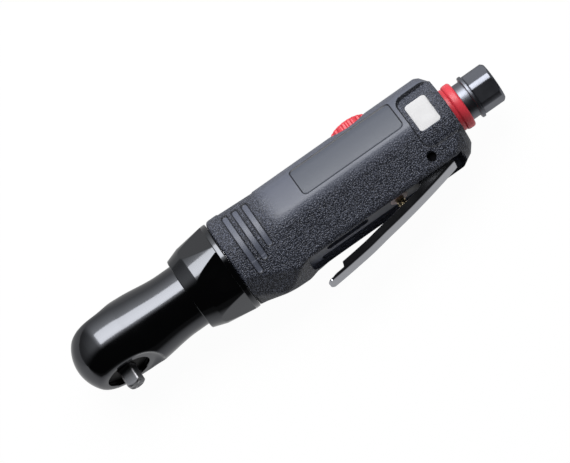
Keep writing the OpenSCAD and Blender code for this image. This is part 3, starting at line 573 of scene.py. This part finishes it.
panel_up = grip_r * np.sin(side - LABEL_TURN)
panel_edge = box_field(gx, panel_up, *PANEL)
panel_edge = np.where(np.abs(side - LABEL_TURN) < 1.0, panel_edge, NO_EDGE)
panel_mask = ease(0.18, -0.3, panel_edge)
grip_r -= PANEL_DEPTH * panel_mask

pocket_edge = box_field(gx, grip_r * np.sin(side), *POCKET)
pocket_mask = ease(0.12, -0.22, pocket_edge)
grip_r = grip_r + (np.minimum(grip_r, POCKET_R) - grip_r) * pocket_mask
plate_mask = ease(0.12, -0.15, box_field(gx, grip_r * np.sin(side), *PLATE))
grip_r = grip_r + (np.minimum(grip_r, PLATE_Z / np.maximum(np.cos(side), 0.2)) - grip_r) * plate_mask

scallop_y = SCALLOP_Y - np.sqrt(np.maximum(SCALLOP_R ** 2 - (gx - VALVE_X) ** 2, 0.0))
by_scallop = (side > 0.3) & (np.abs(gx - VALVE_X) < SCALLOP_R - 0.1)
scallop_r = np.where(by_scallop, scallop_y / np.maximum(np.sin(side), GRAZING), NO_HIT)
grip_r = np.where(scallop_r < grip_r + 3.0, soft_min(grip_r, scallop_r, 0.35), grip_r)
grip_r -= REAR_BEVEL * np.clip((gx - REAR_BEVEL_X) / REAR_BEVEL_RUN, 0.0, 1.0) * (1.0 - 0.75 * pocket_mask)

# Grain covers the flanks, the barrel and the rear pocket, and a little of the back.
turn_up = np.degrees(side)
grain_mask = 1.0 - ease(-25.0, -3.0, turn_up) * ease(80.0, 91.0, gx)
grain_mask = np.maximum(grain_mask, 0.35 * ease(40.0, 47.0, turn_up))
grain_mask = np.maximum(grain_mask, 0.85 * pocket_mask)
grain_mask *= (1.0 - groove_mask) * (1.0 - plate_mask)
# The distance from the recess outlines places the painted shade along them.
recess_edge = np.clip(np.minimum(np.minimum(panel_edge, groove_edge), pocket_edge), -3.0, 3.0)

front_mouth = about_x(GRIP_FRONT, FRONT_MOUTH_R, turn)
rear_mouth = about_x(GRIP_REAR, REAR_MOUTH_R, turn)
grip_points = np.concatenate([front_mouth[None], about_x(gx, grip_r, turn), rear_mouth[None]])
grip = skin("grip_moulding", grip_points, close_ends=True)


def paint(mesh, name, grid, inside):
    """Stores a grid's value at the nearest grid point on each vertex of the skin, and one value below it."""
    places = points_of(mesh)
    row = np.clip(np.searchsorted(0.5 * (grip_x[1:] + grip_x[:-1]), places[:, 0]), 0, len(grip_x) - 1)
    angle = np.arctan2(places[:, 1], places[:, 2])
    column = np.round((angle + np.pi) / (2.0 * np.pi) * len(turn)).astype(int) % len(turn)
    on_skin = np.hypot(places[:, 1], places[:, 2]) > grip_r[row, column] - SKIN_DEPTH
    store(mesh, name, np.where(on_skin, grid[row, column], inside))


pin_turn = around[::6]
pin_points = np.broadcast_arrays(
    PIN_X + PIN_BORE_R * np.cos(pin_turn), PIN_Y + PIN_BORE_R * np.sin(pin_turn), np.array([[-30.0], [30.0]]))
carve(grip, [
    *[slab(name, rounded_outline(*box), low, high) for name, (*box, low, high) in UNDER_CUTS.items()],
    plug_y("bush_bore_cut", BUSH_BORE_R, -43.0, BUSH_SEAT, VALVE_X),
    plug_y("dial_pocket_cut", DIAL_POCKET_R, DIAL_SEAT, 40.0, VALVE_X),
    skin("pin_bore_cut", np.stack(pin_points, axis=-1), close_ends=True),
])
paint(grip.data, "grain", grain_mask, 0.0)
paint(grip.data, "panel", panel_mask, 0.0)
paint(grip.data, "recess", recess_edge, 3.0)

grip_plastic, tree, shader = new_finish("grained_grey_composite", (0.09, 0.096, 0.12), 0.42)
place = tree.nodes.new("ShaderNodeTexCoord")
strength = add_node(tree, "ShaderNodeAttribute", attribute_name="grain")
on_panel = add_node(tree, "ShaderNodeAttribute", attribute_name="panel")
pebbles = add_node(tree, "ShaderNodeTexVoronoi", feature="SMOOTH_F1", inputs={
    "Scale": 1700.0, "Smoothness": 0.4, "Randomness": 1.0})
crests = add_node(tree, "ShaderNodeTexNoise", inputs={"Scale": 1500.0, "Detail": 2.0, "Roughness": 0.6})
fine = add_node(tree, "ShaderNodeTexNoise", inputs={"Scale": 4200.0, "Detail": 2.0, "Roughness": 0.6})
mould_cloud = add_node(tree, "ShaderNodeTexNoise", inputs={"Scale": 70.0, "Detail": 3.0, "Roughness": 0.5})
dips = add_node(tree, "ShaderNodeMath", operation="SUBTRACT")
deep = add_node(tree, "ShaderNodeMath", operation="MULTIPLY")
light_fine = add_node(tree, "ShaderNodeMath", operation="MULTIPLY", inputs={1: 0.06})
height = add_node(tree, "ShaderNodeMath", operation="ADD")
bump = add_node(tree, "ShaderNodeBump", inputs={"Strength": 1.0, "Distance": 0.00042})
# Painted light and shade on the grain: the colour follows the pebbles' height, dark in the dips and light on
# the crests.
grain_light_share = ranged(tree, (-0.12, 0.42), (0.0, 1.0), smooth=True)
painted_grain_light_and_shade = colour_mix(tree, (0.019, 0.0215, 0.032), (0.128, 0.14, 0.186))
smooth_tint = colour_mix(tree, (0.1, 0.109, 0.142), (0.08, 0.089, 0.113))
tint = colour_mix(tree)
# Painted shade: a thin dark line along the outlines of the grooves, the label panel and the rear pocket,
# where shade falls in the creases.
recess = add_node(tree, "ShaderNodeAttribute", attribute_name="recess")
from_edge = add_node(tree, "ShaderNodeMath", operation="ABSOLUTE")
crease = ranged(tree, (0.12, 0.42), (0.92, 0.0), smooth=True)
painted_outline_shade = colour_mix(tree, high=(0.008, 0.009, 0.013))
cloud_spread = ranged(tree, NOISE_RANGE, (-0.04, 0.04))
rough = ranged(tree, (0.0, 1.0), (0.4, 0.46))
rough_sum = add_node(tree, "ShaderNodeMath", operation="ADD")
for texture in (pebbles, crests, fine, mould_cloud):
    tree.links.new(place.outputs["Object"], texture.inputs["Vector"])
tree.links.new(crests.outputs["Fac"], dips.inputs[0])
tree.links.new(pebbles.outputs["Distance"], dips.inputs[1])
tree.links.new(dips.outputs[0], deep.inputs[0])
tree.links.new(strength.outputs["Fac"], deep.inputs[1])
tree.links.new(fine.outputs["Fac"], light_fine.inputs[0])
tree.links.new(deep.outputs[0], height.inputs[0])
tree.links.new(light_fine.outputs[0], height.inputs[1])
tree.links.new(height.outputs[0], bump.inputs["Height"])
tree.links.new(bump.outputs["Normal"], shader.inputs["Normal"])
tree.links.new(dips.outputs[0], grain_light_share.inputs["Value"])
tree.links.new(grain_light_share.outputs["Result"], painted_grain_light_and_shade.inputs[MIX_SHARE])
tree.links.new(on_panel.outputs["Fac"], smooth_tint.inputs[MIX_SHARE])
tree.links.new(strength.outputs["Fac"], tint.inputs[MIX_SHARE])
tree.links.new(smooth_tint.outputs[MIX_COLOUR], tint.inputs[MIX_LOW])
tree.links.new(painted_grain_light_and_shade.outputs[MIX_COLOUR], tint.inputs[MIX_HIGH])
tree.links.new(recess.outputs["Fac"], from_edge.inputs[0])
tree.links.new(from_edge.outputs[0], crease.inputs["Value"])
tree.links.new(crease.outputs["Result"], painted_outline_shade.inputs[MIX_SHARE])
tree.links.new(tint.outputs[MIX_COLOUR], painted_outline_shade.inputs[MIX_LOW])
tree.links.new(painted_outline_shade.outputs[MIX_COLOUR], shader.inputs["Base Color"])
tree.links.new(strength.outputs["Fac"], rough.inputs["Value"])
tree.links.new(mould_cloud.outputs["Fac"], cloud_spread.inputs["Value"])
tree.links.new(rough.outputs["Result"], rough_sum.inputs[0])
tree.links.new(cloud_spread.outputs["Result"], rough_sum.inputs[1])
tree.links.new(rough_sum.outputs[0], shader.inputs["Roughness"])
grip.data.materials.append(grip_plastic)
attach(grip, "tool_body")
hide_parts("grip_housing")


# Blank sticker
# A white paper label with a satin face, stuck in the flat-bottomed recess at the rear of the
# grip. It carries no print.

STICKER_X, STICKER_HALF_X, STICKER_HALF_Y, STICKER_TOP = 159.7, 5.0, 6.7, 16.87
outline = rounded_outline(-STICKER_HALF_X, STICKER_HALF_X, -STICKER_HALF_Y, STICKER_HALF_Y, 1.3)
spread = np.array([0.02, 0.5, 0.97, 1.0, 1.0])[:, None, None] * outline[None]
lift = (STICKER_TOP - np.array([0.0, 0.0, 0.0, 0.04, 0.15]))[:, None] + 0.0 * outline[None, :, 0]
sticker_points = np.stack([STICKER_X + spread[..., 0], spread[..., 1], lift], axis=-1)
sticker = skin("blank_sticker", sticker_points, close_ends=True)
sticker_paper = handled("satin_sticker_paper", (0.56, 0.555, 0.56), (0.34, 0.5), 180.0, 2600.0, 0.000008)
sticker.data.materials.append(sticker_paper)
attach(sticker, "tool_body")


# Throttle lever
# Steel sheet pressed into a shallow channel with leaning legs, two ears that hang on the pin and a
# round tongue in front of the legs. It bows slightly, and is finished in gloss black.

LEVER_DROP, LEVER_BEND, LEVER_SHEET = 6.7, 1.2, 1.2
LEVER_FLAT, LEG_RUN, EAR_RISE = 3.6, 2.4, 5.6
LEG_LEAN, EAR_LEAN = math.radians(62.0), math.radians(74.0)
LEVER_TIP, LEVER_REAR, TONGUE_HALF = -66.0, 6.0, 5.3
LEVER_OPEN, LEVER_EDGE = math.radians(9.0), 0.28
BOW_MIDDLE, BOW_HALF, BOW_REAR, BOW_FRONT, BOW_SAG, FRONT_DIP = -31.0, 35.0, 1.7, 1.25, 0.8, 0.35
TONGUE_REAR = -56.9

# The sheet lies flat first: half its width at each station, measured from the middle round the bends.
lever_x = np.unique(np.concatenate([
    LEVER_TIP + TONGUE_HALF * (1.0 - np.cos(np.linspace(0.0, np.pi / 2.0, 22))),
    np.linspace(-60.6, -52.0, 46), np.linspace(-51.0, -15.0, 37), np.linspace(-14.0, LEVER_REAR, 41)]))
lean = (LEG_LEAN + (EAR_LEAN - LEG_LEAN) * ease(-16.0, -5.0, lever_x))[:, None]
leg_run = LEVER_FLAT + LEVER_BEND * lean[:, 0] + LEG_RUN
ear_rise = EAR_RISE * ease(-13.0, -2.5, lever_x) * ease(5.6, 2.0, lever_x)
tongue_in = np.maximum(LEVER_TIP + TONGUE_HALF - lever_x, 0.0)
tongue = np.sqrt(np.maximum(TONGUE_HALF ** 2 - tongue_in ** 2, 0.0004))
with_legs = ease(-57.0, -55.6, lever_x) * ease(5.9, 5.0, lever_x)
channel_run = TONGUE_HALF + (leg_run + ear_rise - TONGUE_HALF) * with_legs
half_run = np.where(lever_x < TONGUE_REAR, tongue, channel_run)

# Then it is folded up along both bends, bowed, and turned open about the pin.
run = np.linspace(-1.0, 1.0, 81)[None, :] * half_run[:, None]
reach_out = np.abs(run)
bend_turn = np.clip((reach_out - LEVER_FLAT) / LEVER_BEND, 0.0, lean)
up_leg = np.maximum(reach_out - LEVER_FLAT - LEVER_BEND * lean, 0.0)
lever_z = np.sign(run) * (
    np.minimum(reach_out, LEVER_FLAT) + LEVER_BEND * np.sin(bend_turn) + up_leg * np.cos(lean))
lever_y = -LEVER_DROP + LEVER_BEND * (1.0 - np.cos(bend_turn)) + up_leg * np.sin(lean)
lever_lx = lever_x[:, None] + 0.0 * run
bow = np.where(lever_lx > BOW_MIDDLE, BOW_REAR, BOW_FRONT) * ((lever_lx - BOW_MIDDLE) / BOW_HALF) ** 2
lever_y = lever_y - BOW_SAG + bow - FRONT_DIP * ease(-33.0, -45.0, lever_lx)
lever_points = np.stack([
    PIN_X + lever_lx * math.cos(LEVER_OPEN) - lever_y * math.sin(LEVER_OPEN),
    PIN_Y + lever_lx * math.sin(LEVER_OPEN) + lever_y * math.cos(LEVER_OPEN), lever_z], axis=-1)
lever = skin("pressed_lever", lever_points, wrap=False)
mesh = lever.data
mesh.update()
areas = np.empty(len(mesh.polygons))
mesh.polygons.foreach_get("area", areas)
if mesh.polygons[int(areas.argmax())].normal.y > 0.0:
    mesh.flip_normals()
thick = lever.modifiers.new("sheet", "SOLIDIFY")
thick.thickness = LEVER_SHEET * MM
thick.offset = -1.0
thick.use_even_offset = True
edge = lever.modifiers.new("rolled_edge", "BEVEL")
edge.width = LEVER_EDGE * MM
edge.segments = 3
edge.limit_method = "ANGLE"
edge.angle_limit = math.radians(50.0)

lever_black = handled(
    "lever_black_enamel", (0.45, 0.46, 0.5), (0.14, 0.24), 70.0, 1100.0, 0.000006, metallic=1.0)
lever.data.materials.append(lever_black)
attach(lever, "lever")
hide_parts("throttle_lever")


# Throttle valve stem and its bush
# The stem is turned brass with two small grooves near its rounded end. The bush is a pale nylon
# ring pressed into the channel's floor.

stem_profile = np.array([
    [-24.0, 0.0], [-24.0, 0.7], [-23.92, 1.2], [-23.75, 1.6], [-23.5, 1.84], [-23.25, 1.9], [-22.0, 1.9],
    [-21.9, 1.55], [-21.6, 1.48], [-21.3, 1.55], [-21.2, 1.9], [-20.7, 1.9], [-20.6, 1.55], [-20.3, 1.48],
    [-20.0, 1.55], [-19.9, 1.9], [-9.0, 1.9], [-9.0, 3.0], [-8.8, 3.2], [-6.8, 3.2], [-6.6, 3.0],
    [-6.6, 0.0]])
stem = skin("brass_stem", spun_y(stem_profile, VALVE_X, 64))
bush_profile = np.array([
    [-9.2, 1.98], [-18.25, 1.98], [-18.45, 2.1], [-18.5, 2.3], [-18.5, 3.85], [-18.42, 4.08], [-18.25, 4.2],
    [-9.2, 4.2], [-9.2, 1.98]])
bush = skin("pale_bush", spun_y(bush_profile, VALVE_X, 80))

brass = ground_steel("turned_brass", (0.72, 0.6, 0.38), (0.22, 0.36), (160.0, 5200.0, 160.0))[0]
stem.data.materials.append(brass)
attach(stem, "valve")
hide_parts("valve_stem")
nylon = handled("pale_nylon", (0.66, 0.5, 0.5), (0.34, 0.48), 300.0, 3000.0, 0.00001)
bush.data.materials.append(nylon)
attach(bush, "tool_body")
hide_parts("valve_bush")


# Power regulator dial
# Gloss red plastic, moulded with rounded finger grooves round its rim and a pointer groove on top.
# It turns in a pocket in the back of the grip.

DIAL_R, DIAL_GROOVES, GROOVE_COLUMNS = 9.4, 22, 16
NOTCH_SHARE, NOTCH_DEPTH = 0.52, 0.5
POINTER_DEPTH, TOP_FROM, RIM_WIDTH = 0.35, 19.0, 0.8
turn = full_turn(DIAL_GROOVES * GROOVE_COLUMNS)

# Rows of the rim's section: height, and how far it lies inside the full radius.
dial_rows = np.array([
    [11.8, DIAL_R], [11.8, 0.45], [11.95, 0.15], [12.3, 0.0], [14.0, 0.0], [16.0, 0.0], [18.0, 0.0],
    [19.0, 0.0], [19.5, 0.05], [19.85, 0.17], [20.1, 0.4], [20.25, 0.65], [20.3, 0.95], [20.3, 1.7],
    [20.25, 2.1], [20.15, 2.5], [20.15, DIAL_R]])
dial_y, dial_r = dial_rows[:, 0], DIAL_R - dial_rows[:, 1]
notch = np.abs((turn * DIAL_GROOVES / (2.0 * np.pi)) % 1.0 - 0.5) * 2.0
notch = np.clip(1.0 - notch / NOTCH_SHARE, 0.0, 1.0)
notch = np.sqrt(1.0 - (1.0 - notch) ** 2) * NOTCH_DEPTH
bite = np.where((dial_y < 12.0) | (dial_r < DIAL_R - RIM_WIDTH), 0.0, 1.0)
pointer = ease(0.62, 0.45, np.abs(dial_r[:, None] * np.cos(turn))) * (np.sin(turn) < 0.0)
dial_skin_r = dial_r[:, None] - bite[:, None] * notch[None, :]
on_top = ((dial_y > TOP_FROM) & (dial_r < DIAL_R - RIM_WIDTH))[:, None]
dial_skin_y = dial_y[:, None] - POINTER_DEPTH * pointer * on_top
dial = skin("regulator_knob", about_y(dial_skin_y, dial_skin_r, turn, VALVE_X))
red_plastic = handled("gloss_red_plastic", (0.68, 0.045, 0.065), (0.28, 0.4), 160.0, 2200.0, 0.000008)
dial.data.materials.append(red_plastic)
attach(dial, "regulator")
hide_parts("regulator_dial")


# Exhaust ring
# A red plastic ring that turns the used air away behind the grip: a narrow collar against the
# grip, a fine groove, and a wider rounded band.

ring_profile = np.array([
    [176.3, 8.35], [176.3, 9.5], [176.22, 9.95], [175.95, 10.3], [175.6, 10.5], [175.2, 10.6], [173.6, 10.6],
    [172.9, 10.5], [172.5, 10.3], [172.3, 10.05], [172.2, 9.85], [172.05, 9.8], [171.9, 9.9], [171.5, 9.96],
    [170.6, 10.0], [170.2, 10.05], [170.1, 9.9], [170.1, 8.35], [176.3, 8.35]])
exhaust = skin("exhaust_band", about_x(ring_profile[:, :1], ring_profile[:, 1:], full_turn(144)))
exhaust.data.materials.append(red_plastic)
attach(exhaust, "tool_body")
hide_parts("exhaust_ring")


# Inlet bushing
# A bushing turned from aluminium bar and anodised black, with a round flange and a wrench hexagon.
# It is screwed into the grip, and the air plug screws into its threaded hole.

INLET_END, INLET_FLAT = 192.5, 8.5
THREAD_PITCH, THREAD_R, THREAD_DEPTH = 1.41, 5.8, 0.62
turn = full_turn(288)
hex_lean = turn % (np.pi / 3.0) - np.pi / 6.0
hex_r = INLET_FLAT / np.cos(hex_lean)
round_x = np.array([148.0, 148.0, 148.6, 170.0, 170.0, 180.2, 180.2, 180.3, 180.55, 181.45, 181.7, 181.8])
round_r = np.array([0.0, 6.9, 7.5, 7.5, 8.3, 8.3, 9.5, 9.75, 9.9, 9.9, 9.78, 9.5])
hex_x = np.concatenate([
    [181.8, 182.0, 182.3], np.linspace(183.0, 190.2, 10), np.linspace(190.5, 192.3, 14), [192.42, INLET_END]])
cap_r = 9.15 - 0.9 * np.clip((hex_x - 191.4) / 1.1, 0.0, 1.0) - 0.1 * ease(192.2, INLET_END, hex_x)
hex_skin = soft_min(hex_r[None, :], cap_r[:, None], 0.08) - 0.25 * ease(182.3, 181.8, hex_x)[:, None]
thread_x = np.linspace(191.6, 177.0, 150)
saw = np.abs(((thread_x[:, None] / THREAD_PITCH - turn[None, :] / (2.0 * np.pi)) % 1.0) * 2.0 - 1.0)
thread_cut = np.clip(saw * 1.25 - 0.12, 0.0, 1.0) * ease(191.9, 191.2, thread_x)[:, None]
thread_r = THREAD_R + THREAD_DEPTH * thread_cut
inner = np.array([[176.6, 5.6], [174.5, 5.5], [174.5, 3.9], [149.0, 3.9], [149.0, 0.0]])
mouth = np.array([[INLET_END, 6.9], [192.45, 6.55], [191.9, 6.0]])
inlet_x = np.concatenate([round_x, hex_x, mouth[:, 0], thread_x, inner[:, 0]])
inlet_r = np.concatenate([
    round_r[:, None] + 0.0 * turn, hex_skin, mouth[:, 1:] + 0.0 * turn, thread_r, inner[:, 1:] + 0.0 * turn])
inlet = skin("inlet_hexagon", about_x(inlet_x[:, None], inlet_r, turn))

black_anodised = handled(
    "black_anodised_inlet", (0.2, 0.208, 0.237), (0.34, 0.44), 120.0, 1600.0, 0.000008, metallic=1.0)
inlet.data.materials.append(black_anodised)
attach(inlet, "tool_body")
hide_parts("inlet_bushing")


# Pieces that keep their CAD shape
# Turned, ground and stamped parts inside the tool and in the head's back. Each takes the finish
# that its work needs: ground steel, black oxide, brass, brown laminate or rubber. The lever's pin
# is coloured duller and darker than the rest, as painted shade for the bore it is sunk in.

ground = ground_steel("ground_inner_steel", (0.6, 0.6, 0.61), (0.24, 0.42), (500.0, 2600.0, 2600.0))[0]
black_oxide = handled(
    "black_oxide_steel", (0.014, 0.014, 0.016), (0.34, 0.5), 120.0, 1600.0, 0.000012, metallic=1.0)
laminate = handled("brown_laminate", (0.2, 0.11, 0.05), (0.45, 0.6), 400.0, 3000.0, 0.00001)
rubber = handled("black_seal_rubber", (0.02, 0.02, 0.02), (0.5, 0.7), 500.0, 4000.0, 0.00001)
slot_finish = {
    "bright_steel": ground,
    "black_oxide_steel": black_oxide,
    "black_anodised": black_anodised,
    "gloss_black_metal": black_plate,
    "brass": brass,
    "vane_plastic": laminate,
    "black_rubber": rubber,
    "red_plastic": red_plastic,
    "pale_plastic": nylon,
    "grey_composite": grip_plastic,
}
for subpart in frame["record"]["subparts"]:
    node = frame["nodes"][subpart["node"]]
    node.data.materials.clear()
    node.data.materials.append(slot_finish[subpart["material_slot"]])
# Painted shade: the pin is coloured darker and duller than black oxide for the shadow in its bore.
pin_painted_shade_black = handled(
    "pin_black_painted_bore_shade", (0.005, 0.005, 0.006), (0.7, 0.85), 200.0, 1600.0, 0.000012, metallic=1.0)
pin = frame["nodes"]["lever_pin"]
pin.data.materials.clear()
pin.data.materials.append(pin_painted_shade_black)


# Table, light and camera
# A white table under the tool, one long softbox above it on the regulator's side and a wall behind
# that glows softly. The camera is over the drive side, turned so that the barrel rises to the right.

FLOOR_Z, TABLE_HALF = -20.85 * MM, 3.0
table_corners = [(x * TABLE_HALF, y * TABLE_HALF, FLOOR_Z) for x, y in ((-1, -1), (1, -1), (1, 1), (-1, 1))]
table_mesh = bpy.data.meshes.new("white_table")
table_mesh.from_pydata(table_corners, [], [(0, 1, 2, 3)])
table = bpy.data.objects.new("white_table", table_mesh)
bpy.context.scene.collection.objects.link(table)

# The camera sees the table nearly white, with a faint shadow. Mirroring metal sees a painted pool of
# light instead: the table glows bright under the tool, a little less behind it, and dark in front, as in a
# small studio.
table_white, tree, shader = new_finish("white_table_top", (0.9, 0.9, 0.9), 0.6)
glow = add_node(tree, "ShaderNodeEmission", inputs={"Color": (1.0, 1.0, 1.0, 1.0)})
seen = tree.nodes.new("ShaderNodeLightPath")
place = tree.nodes.new("ShaderNodeTexCoord")
apart = tree.nodes.new("ShaderNodeSeparateXYZ")
# Painted light for mirrored rays: a pool of glow under the tool, with painted shade in front of it and a
# little on the far side.
painted_light_pool = ranged(tree, (-0.12, -0.02), (0.04, 0.6), smooth=True)
painted_far_side_shade = ranged(tree, (0.0, 0.05), (1.0, 0.75), smooth=True)
painted_pool_strength = add_node(tree, "ShaderNodeMath", operation="MULTIPLY")
mirrored = add_node(tree, "ShaderNodeMath", operation="MULTIPLY")
direct = add_node(tree, "ShaderNodeMath", operation="MAXIMUM")
bright = add_node(tree, "ShaderNodeMath", operation="MAXIMUM")
share = add_node(tree, "ShaderNodeMath", operation="MULTIPLY", inputs={1: 0.97})
either = add_node(tree, "ShaderNodeMath", operation="MAXIMUM")
mixed = tree.nodes.new("ShaderNodeMixShader")
tree.links.new(place.outputs["Object"], apart.inputs["Vector"])
tree.links.new(apart.outputs["Y"], painted_light_pool.inputs["Value"])
tree.links.new(seen.outputs["Is Glossy Ray"], mirrored.inputs[0])
tree.links.new(apart.outputs["Y"], painted_far_side_shade.inputs["Value"])
tree.links.new(painted_light_pool.outputs["Result"], painted_pool_strength.inputs[0])
tree.links.new(painted_far_side_shade.outputs["Result"], painted_pool_strength.inputs[1])
tree.links.new(painted_pool_strength.outputs[0], mirrored.inputs[1])
tree.links.new(seen.outputs["Is Camera Ray"], direct.inputs[0])
tree.links.new(seen.outputs["Is Transmission Ray"], direct.inputs[1])
tree.links.new(direct.outputs[0], bright.inputs[0])
tree.links.new(mirrored.outputs[0], bright.inputs[1])
tree.links.new(bright.outputs[0], glow.inputs["Strength"])
tree.links.new(direct.outputs[0], share.inputs[0])
tree.links.new(share.outputs[0], either.inputs[0])
tree.links.new(seen.outputs["Is Glossy Ray"], either.inputs[1])
tree.links.new(either.outputs[0], mixed.inputs["Fac"])
tree.links.new(shader.outputs["BSDF"], mixed.inputs[1])
tree.links.new(glow.outputs["Emission"], mixed.inputs[2])
tree.links.new(mixed.outputs["Shader"], tree.nodes["Material Output"].inputs["Surface"])
table_mesh.materials.append(table_white)

# A wall behind the tool that grows brighter with height, in a dim room. The camera sees plain white.
world = bpy.data.worlds.new("studio")
world.use_nodes = True
tree = world.node_tree
seen = tree.nodes.new("ShaderNodeLightPath")
place = tree.nodes.new("ShaderNodeTexCoord")
apart = tree.nodes.new("ShaderNodeSeparateXYZ")
back_wall = ranged(tree, (-0.1, 0.3), (0.0, 1.0), smooth=True)
rise = add_node(tree, "ShaderNodeMath", operation="MULTIPLY_ADD", inputs={1: 1.7, 2: 0.4})
climb = add_node(tree, "ShaderNodeMath", operation="MULTIPLY_ADD", inputs={2: 0.4})
wall_light = add_node(tree, "ShaderNodeMath", operation="MULTIPLY")
sideways = add_node(tree, "ShaderNodeMath", operation="ABSOLUTE")
wall_end = ranged(tree, (0.25, 0.5), (1.0, 0.3), smooth=True)
wall_part = add_node(tree, "ShaderNodeMath", operation="MULTIPLY")
room = ranged(tree, (0.0, 1.0), (0.1, 0.012))
total = add_node(tree, "ShaderNodeMath", operation="ADD")
tree.links.new(place.outputs["Generated"], apart.inputs["Vector"])
tree.links.new(apart.outputs["Y"], back_wall.inputs["Value"])
tree.links.new(apart.outputs["Z"], rise.inputs[0])
tree.links.new(rise.outputs[0], climb.inputs[0])
tree.links.new(apart.outputs["Z"], climb.inputs[1])
tree.links.new(climb.outputs[0], wall_light.inputs[0])
tree.links.new(back_wall.outputs["Result"], wall_light.inputs[1])
tree.links.new(seen.outputs["Is Glossy Ray"], room.inputs["Value"])
tree.links.new(apart.outputs["X"], sideways.inputs[0])
tree.links.new(sideways.outputs[0], wall_end.inputs["Value"])
tree.links.new(wall_light.outputs[0], wall_part.inputs[0])
tree.links.new(wall_end.outputs["Result"], wall_part.inputs[1])
tree.links.new(wall_part.outputs[0], total.inputs[0])
tree.links.new(room.outputs["Result"], total.inputs[1])
backdrop = add_node(tree, "ShaderNodeMix", data_type="FLOAT", inputs={3: 1.0})
straight = add_node(tree, "ShaderNodeMath", operation="MAXIMUM")
tree.links.new(seen.outputs["Is Camera Ray"], straight.inputs[0])
tree.links.new(seen.outputs["Is Transmission Ray"], straight.inputs[1])
tree.links.new(straight.outputs[0], backdrop.inputs[0])
tree.links.new(total.outputs[0], backdrop.inputs[2])
tree.links.new(backdrop.outputs[0], tree.nodes["Background"].inputs["Strength"])
tree.nodes["Background"].inputs["Color"].default_value = (0.97, 0.985, 1.0, 1.0)
bpy.context.scene.world = world


def stand(holder, right, up, back, place):
    """Turns an object so that its X, Y and Z axes are right, up and back, and puts it at a place."""
    turned = np.eye(4)
    turned[:3] = np.stack([right, up, back, place], axis=1)
    holder.matrix_world = Matrix(turned.tolist())


BARREL_WAY = np.array([1.0, 0.0, 0.0])
KEY_AIM, KEY_LEAN, KEY_DISTANCE = 0.165 * BARREL_WAY, math.radians(25.0), 0.62
KEY_LENGTH, KEY_WIDTH, KEY_WATTS = 0.75, 0.4, 3.8
lamp = bpy.data.lights.new("key_softbox", "AREA")
lamp.shape = "RECTANGLE"
lamp.size, lamp.size_y, lamp.energy = KEY_LENGTH, KEY_WIDTH, KEY_WATTS
softbox = bpy.data.objects.new("key_softbox", lamp)
bpy.context.scene.collection.objects.link(softbox)
lamp_back = np.array([0.0, math.sin(KEY_LEAN), math.cos(KEY_LEAN)])
stand(softbox, BARREL_WAY, np.cross(lamp_back, BARREL_WAY), lamp_back, KEY_AIM + KEY_DISTANCE * lamp_back)

VIEW_TILT, VIEW_ROLL, VIEW_DISTANCE = math.radians(21.4), math.radians(35.1), 1.2
LOOK_ALONG, LOOK_ACROSS = 0.08585, -0.00122
toward = np.array([0.0, -math.sin(VIEW_TILT), math.cos(VIEW_TILT)])
across_way = np.cross(toward, BARREL_WAY)
camera_right = math.cos(VIEW_ROLL) * BARREL_WAY - math.sin(VIEW_ROLL) * across_way
camera_up = math.sin(VIEW_ROLL) * BARREL_WAY + math.cos(VIEW_ROLL) * across_way
look_at = LOOK_ALONG * BARREL_WAY + LOOK_ACROSS * across_way
lens = bpy.data.cameras.new("photo_camera")
lens.sensor_width = 36.0
lens.lens = 183.0
camera = bpy.data.objects.new("photo_camera", lens)
bpy.context.scene.collection.objects.link(camera)
stand(camera, camera_right, camera_up, toward, look_at + VIEW_DISTANCE * toward)
bpy.context.scene.camera = camera

bpy.context.scene.view_settings.view_transform = "Standard"
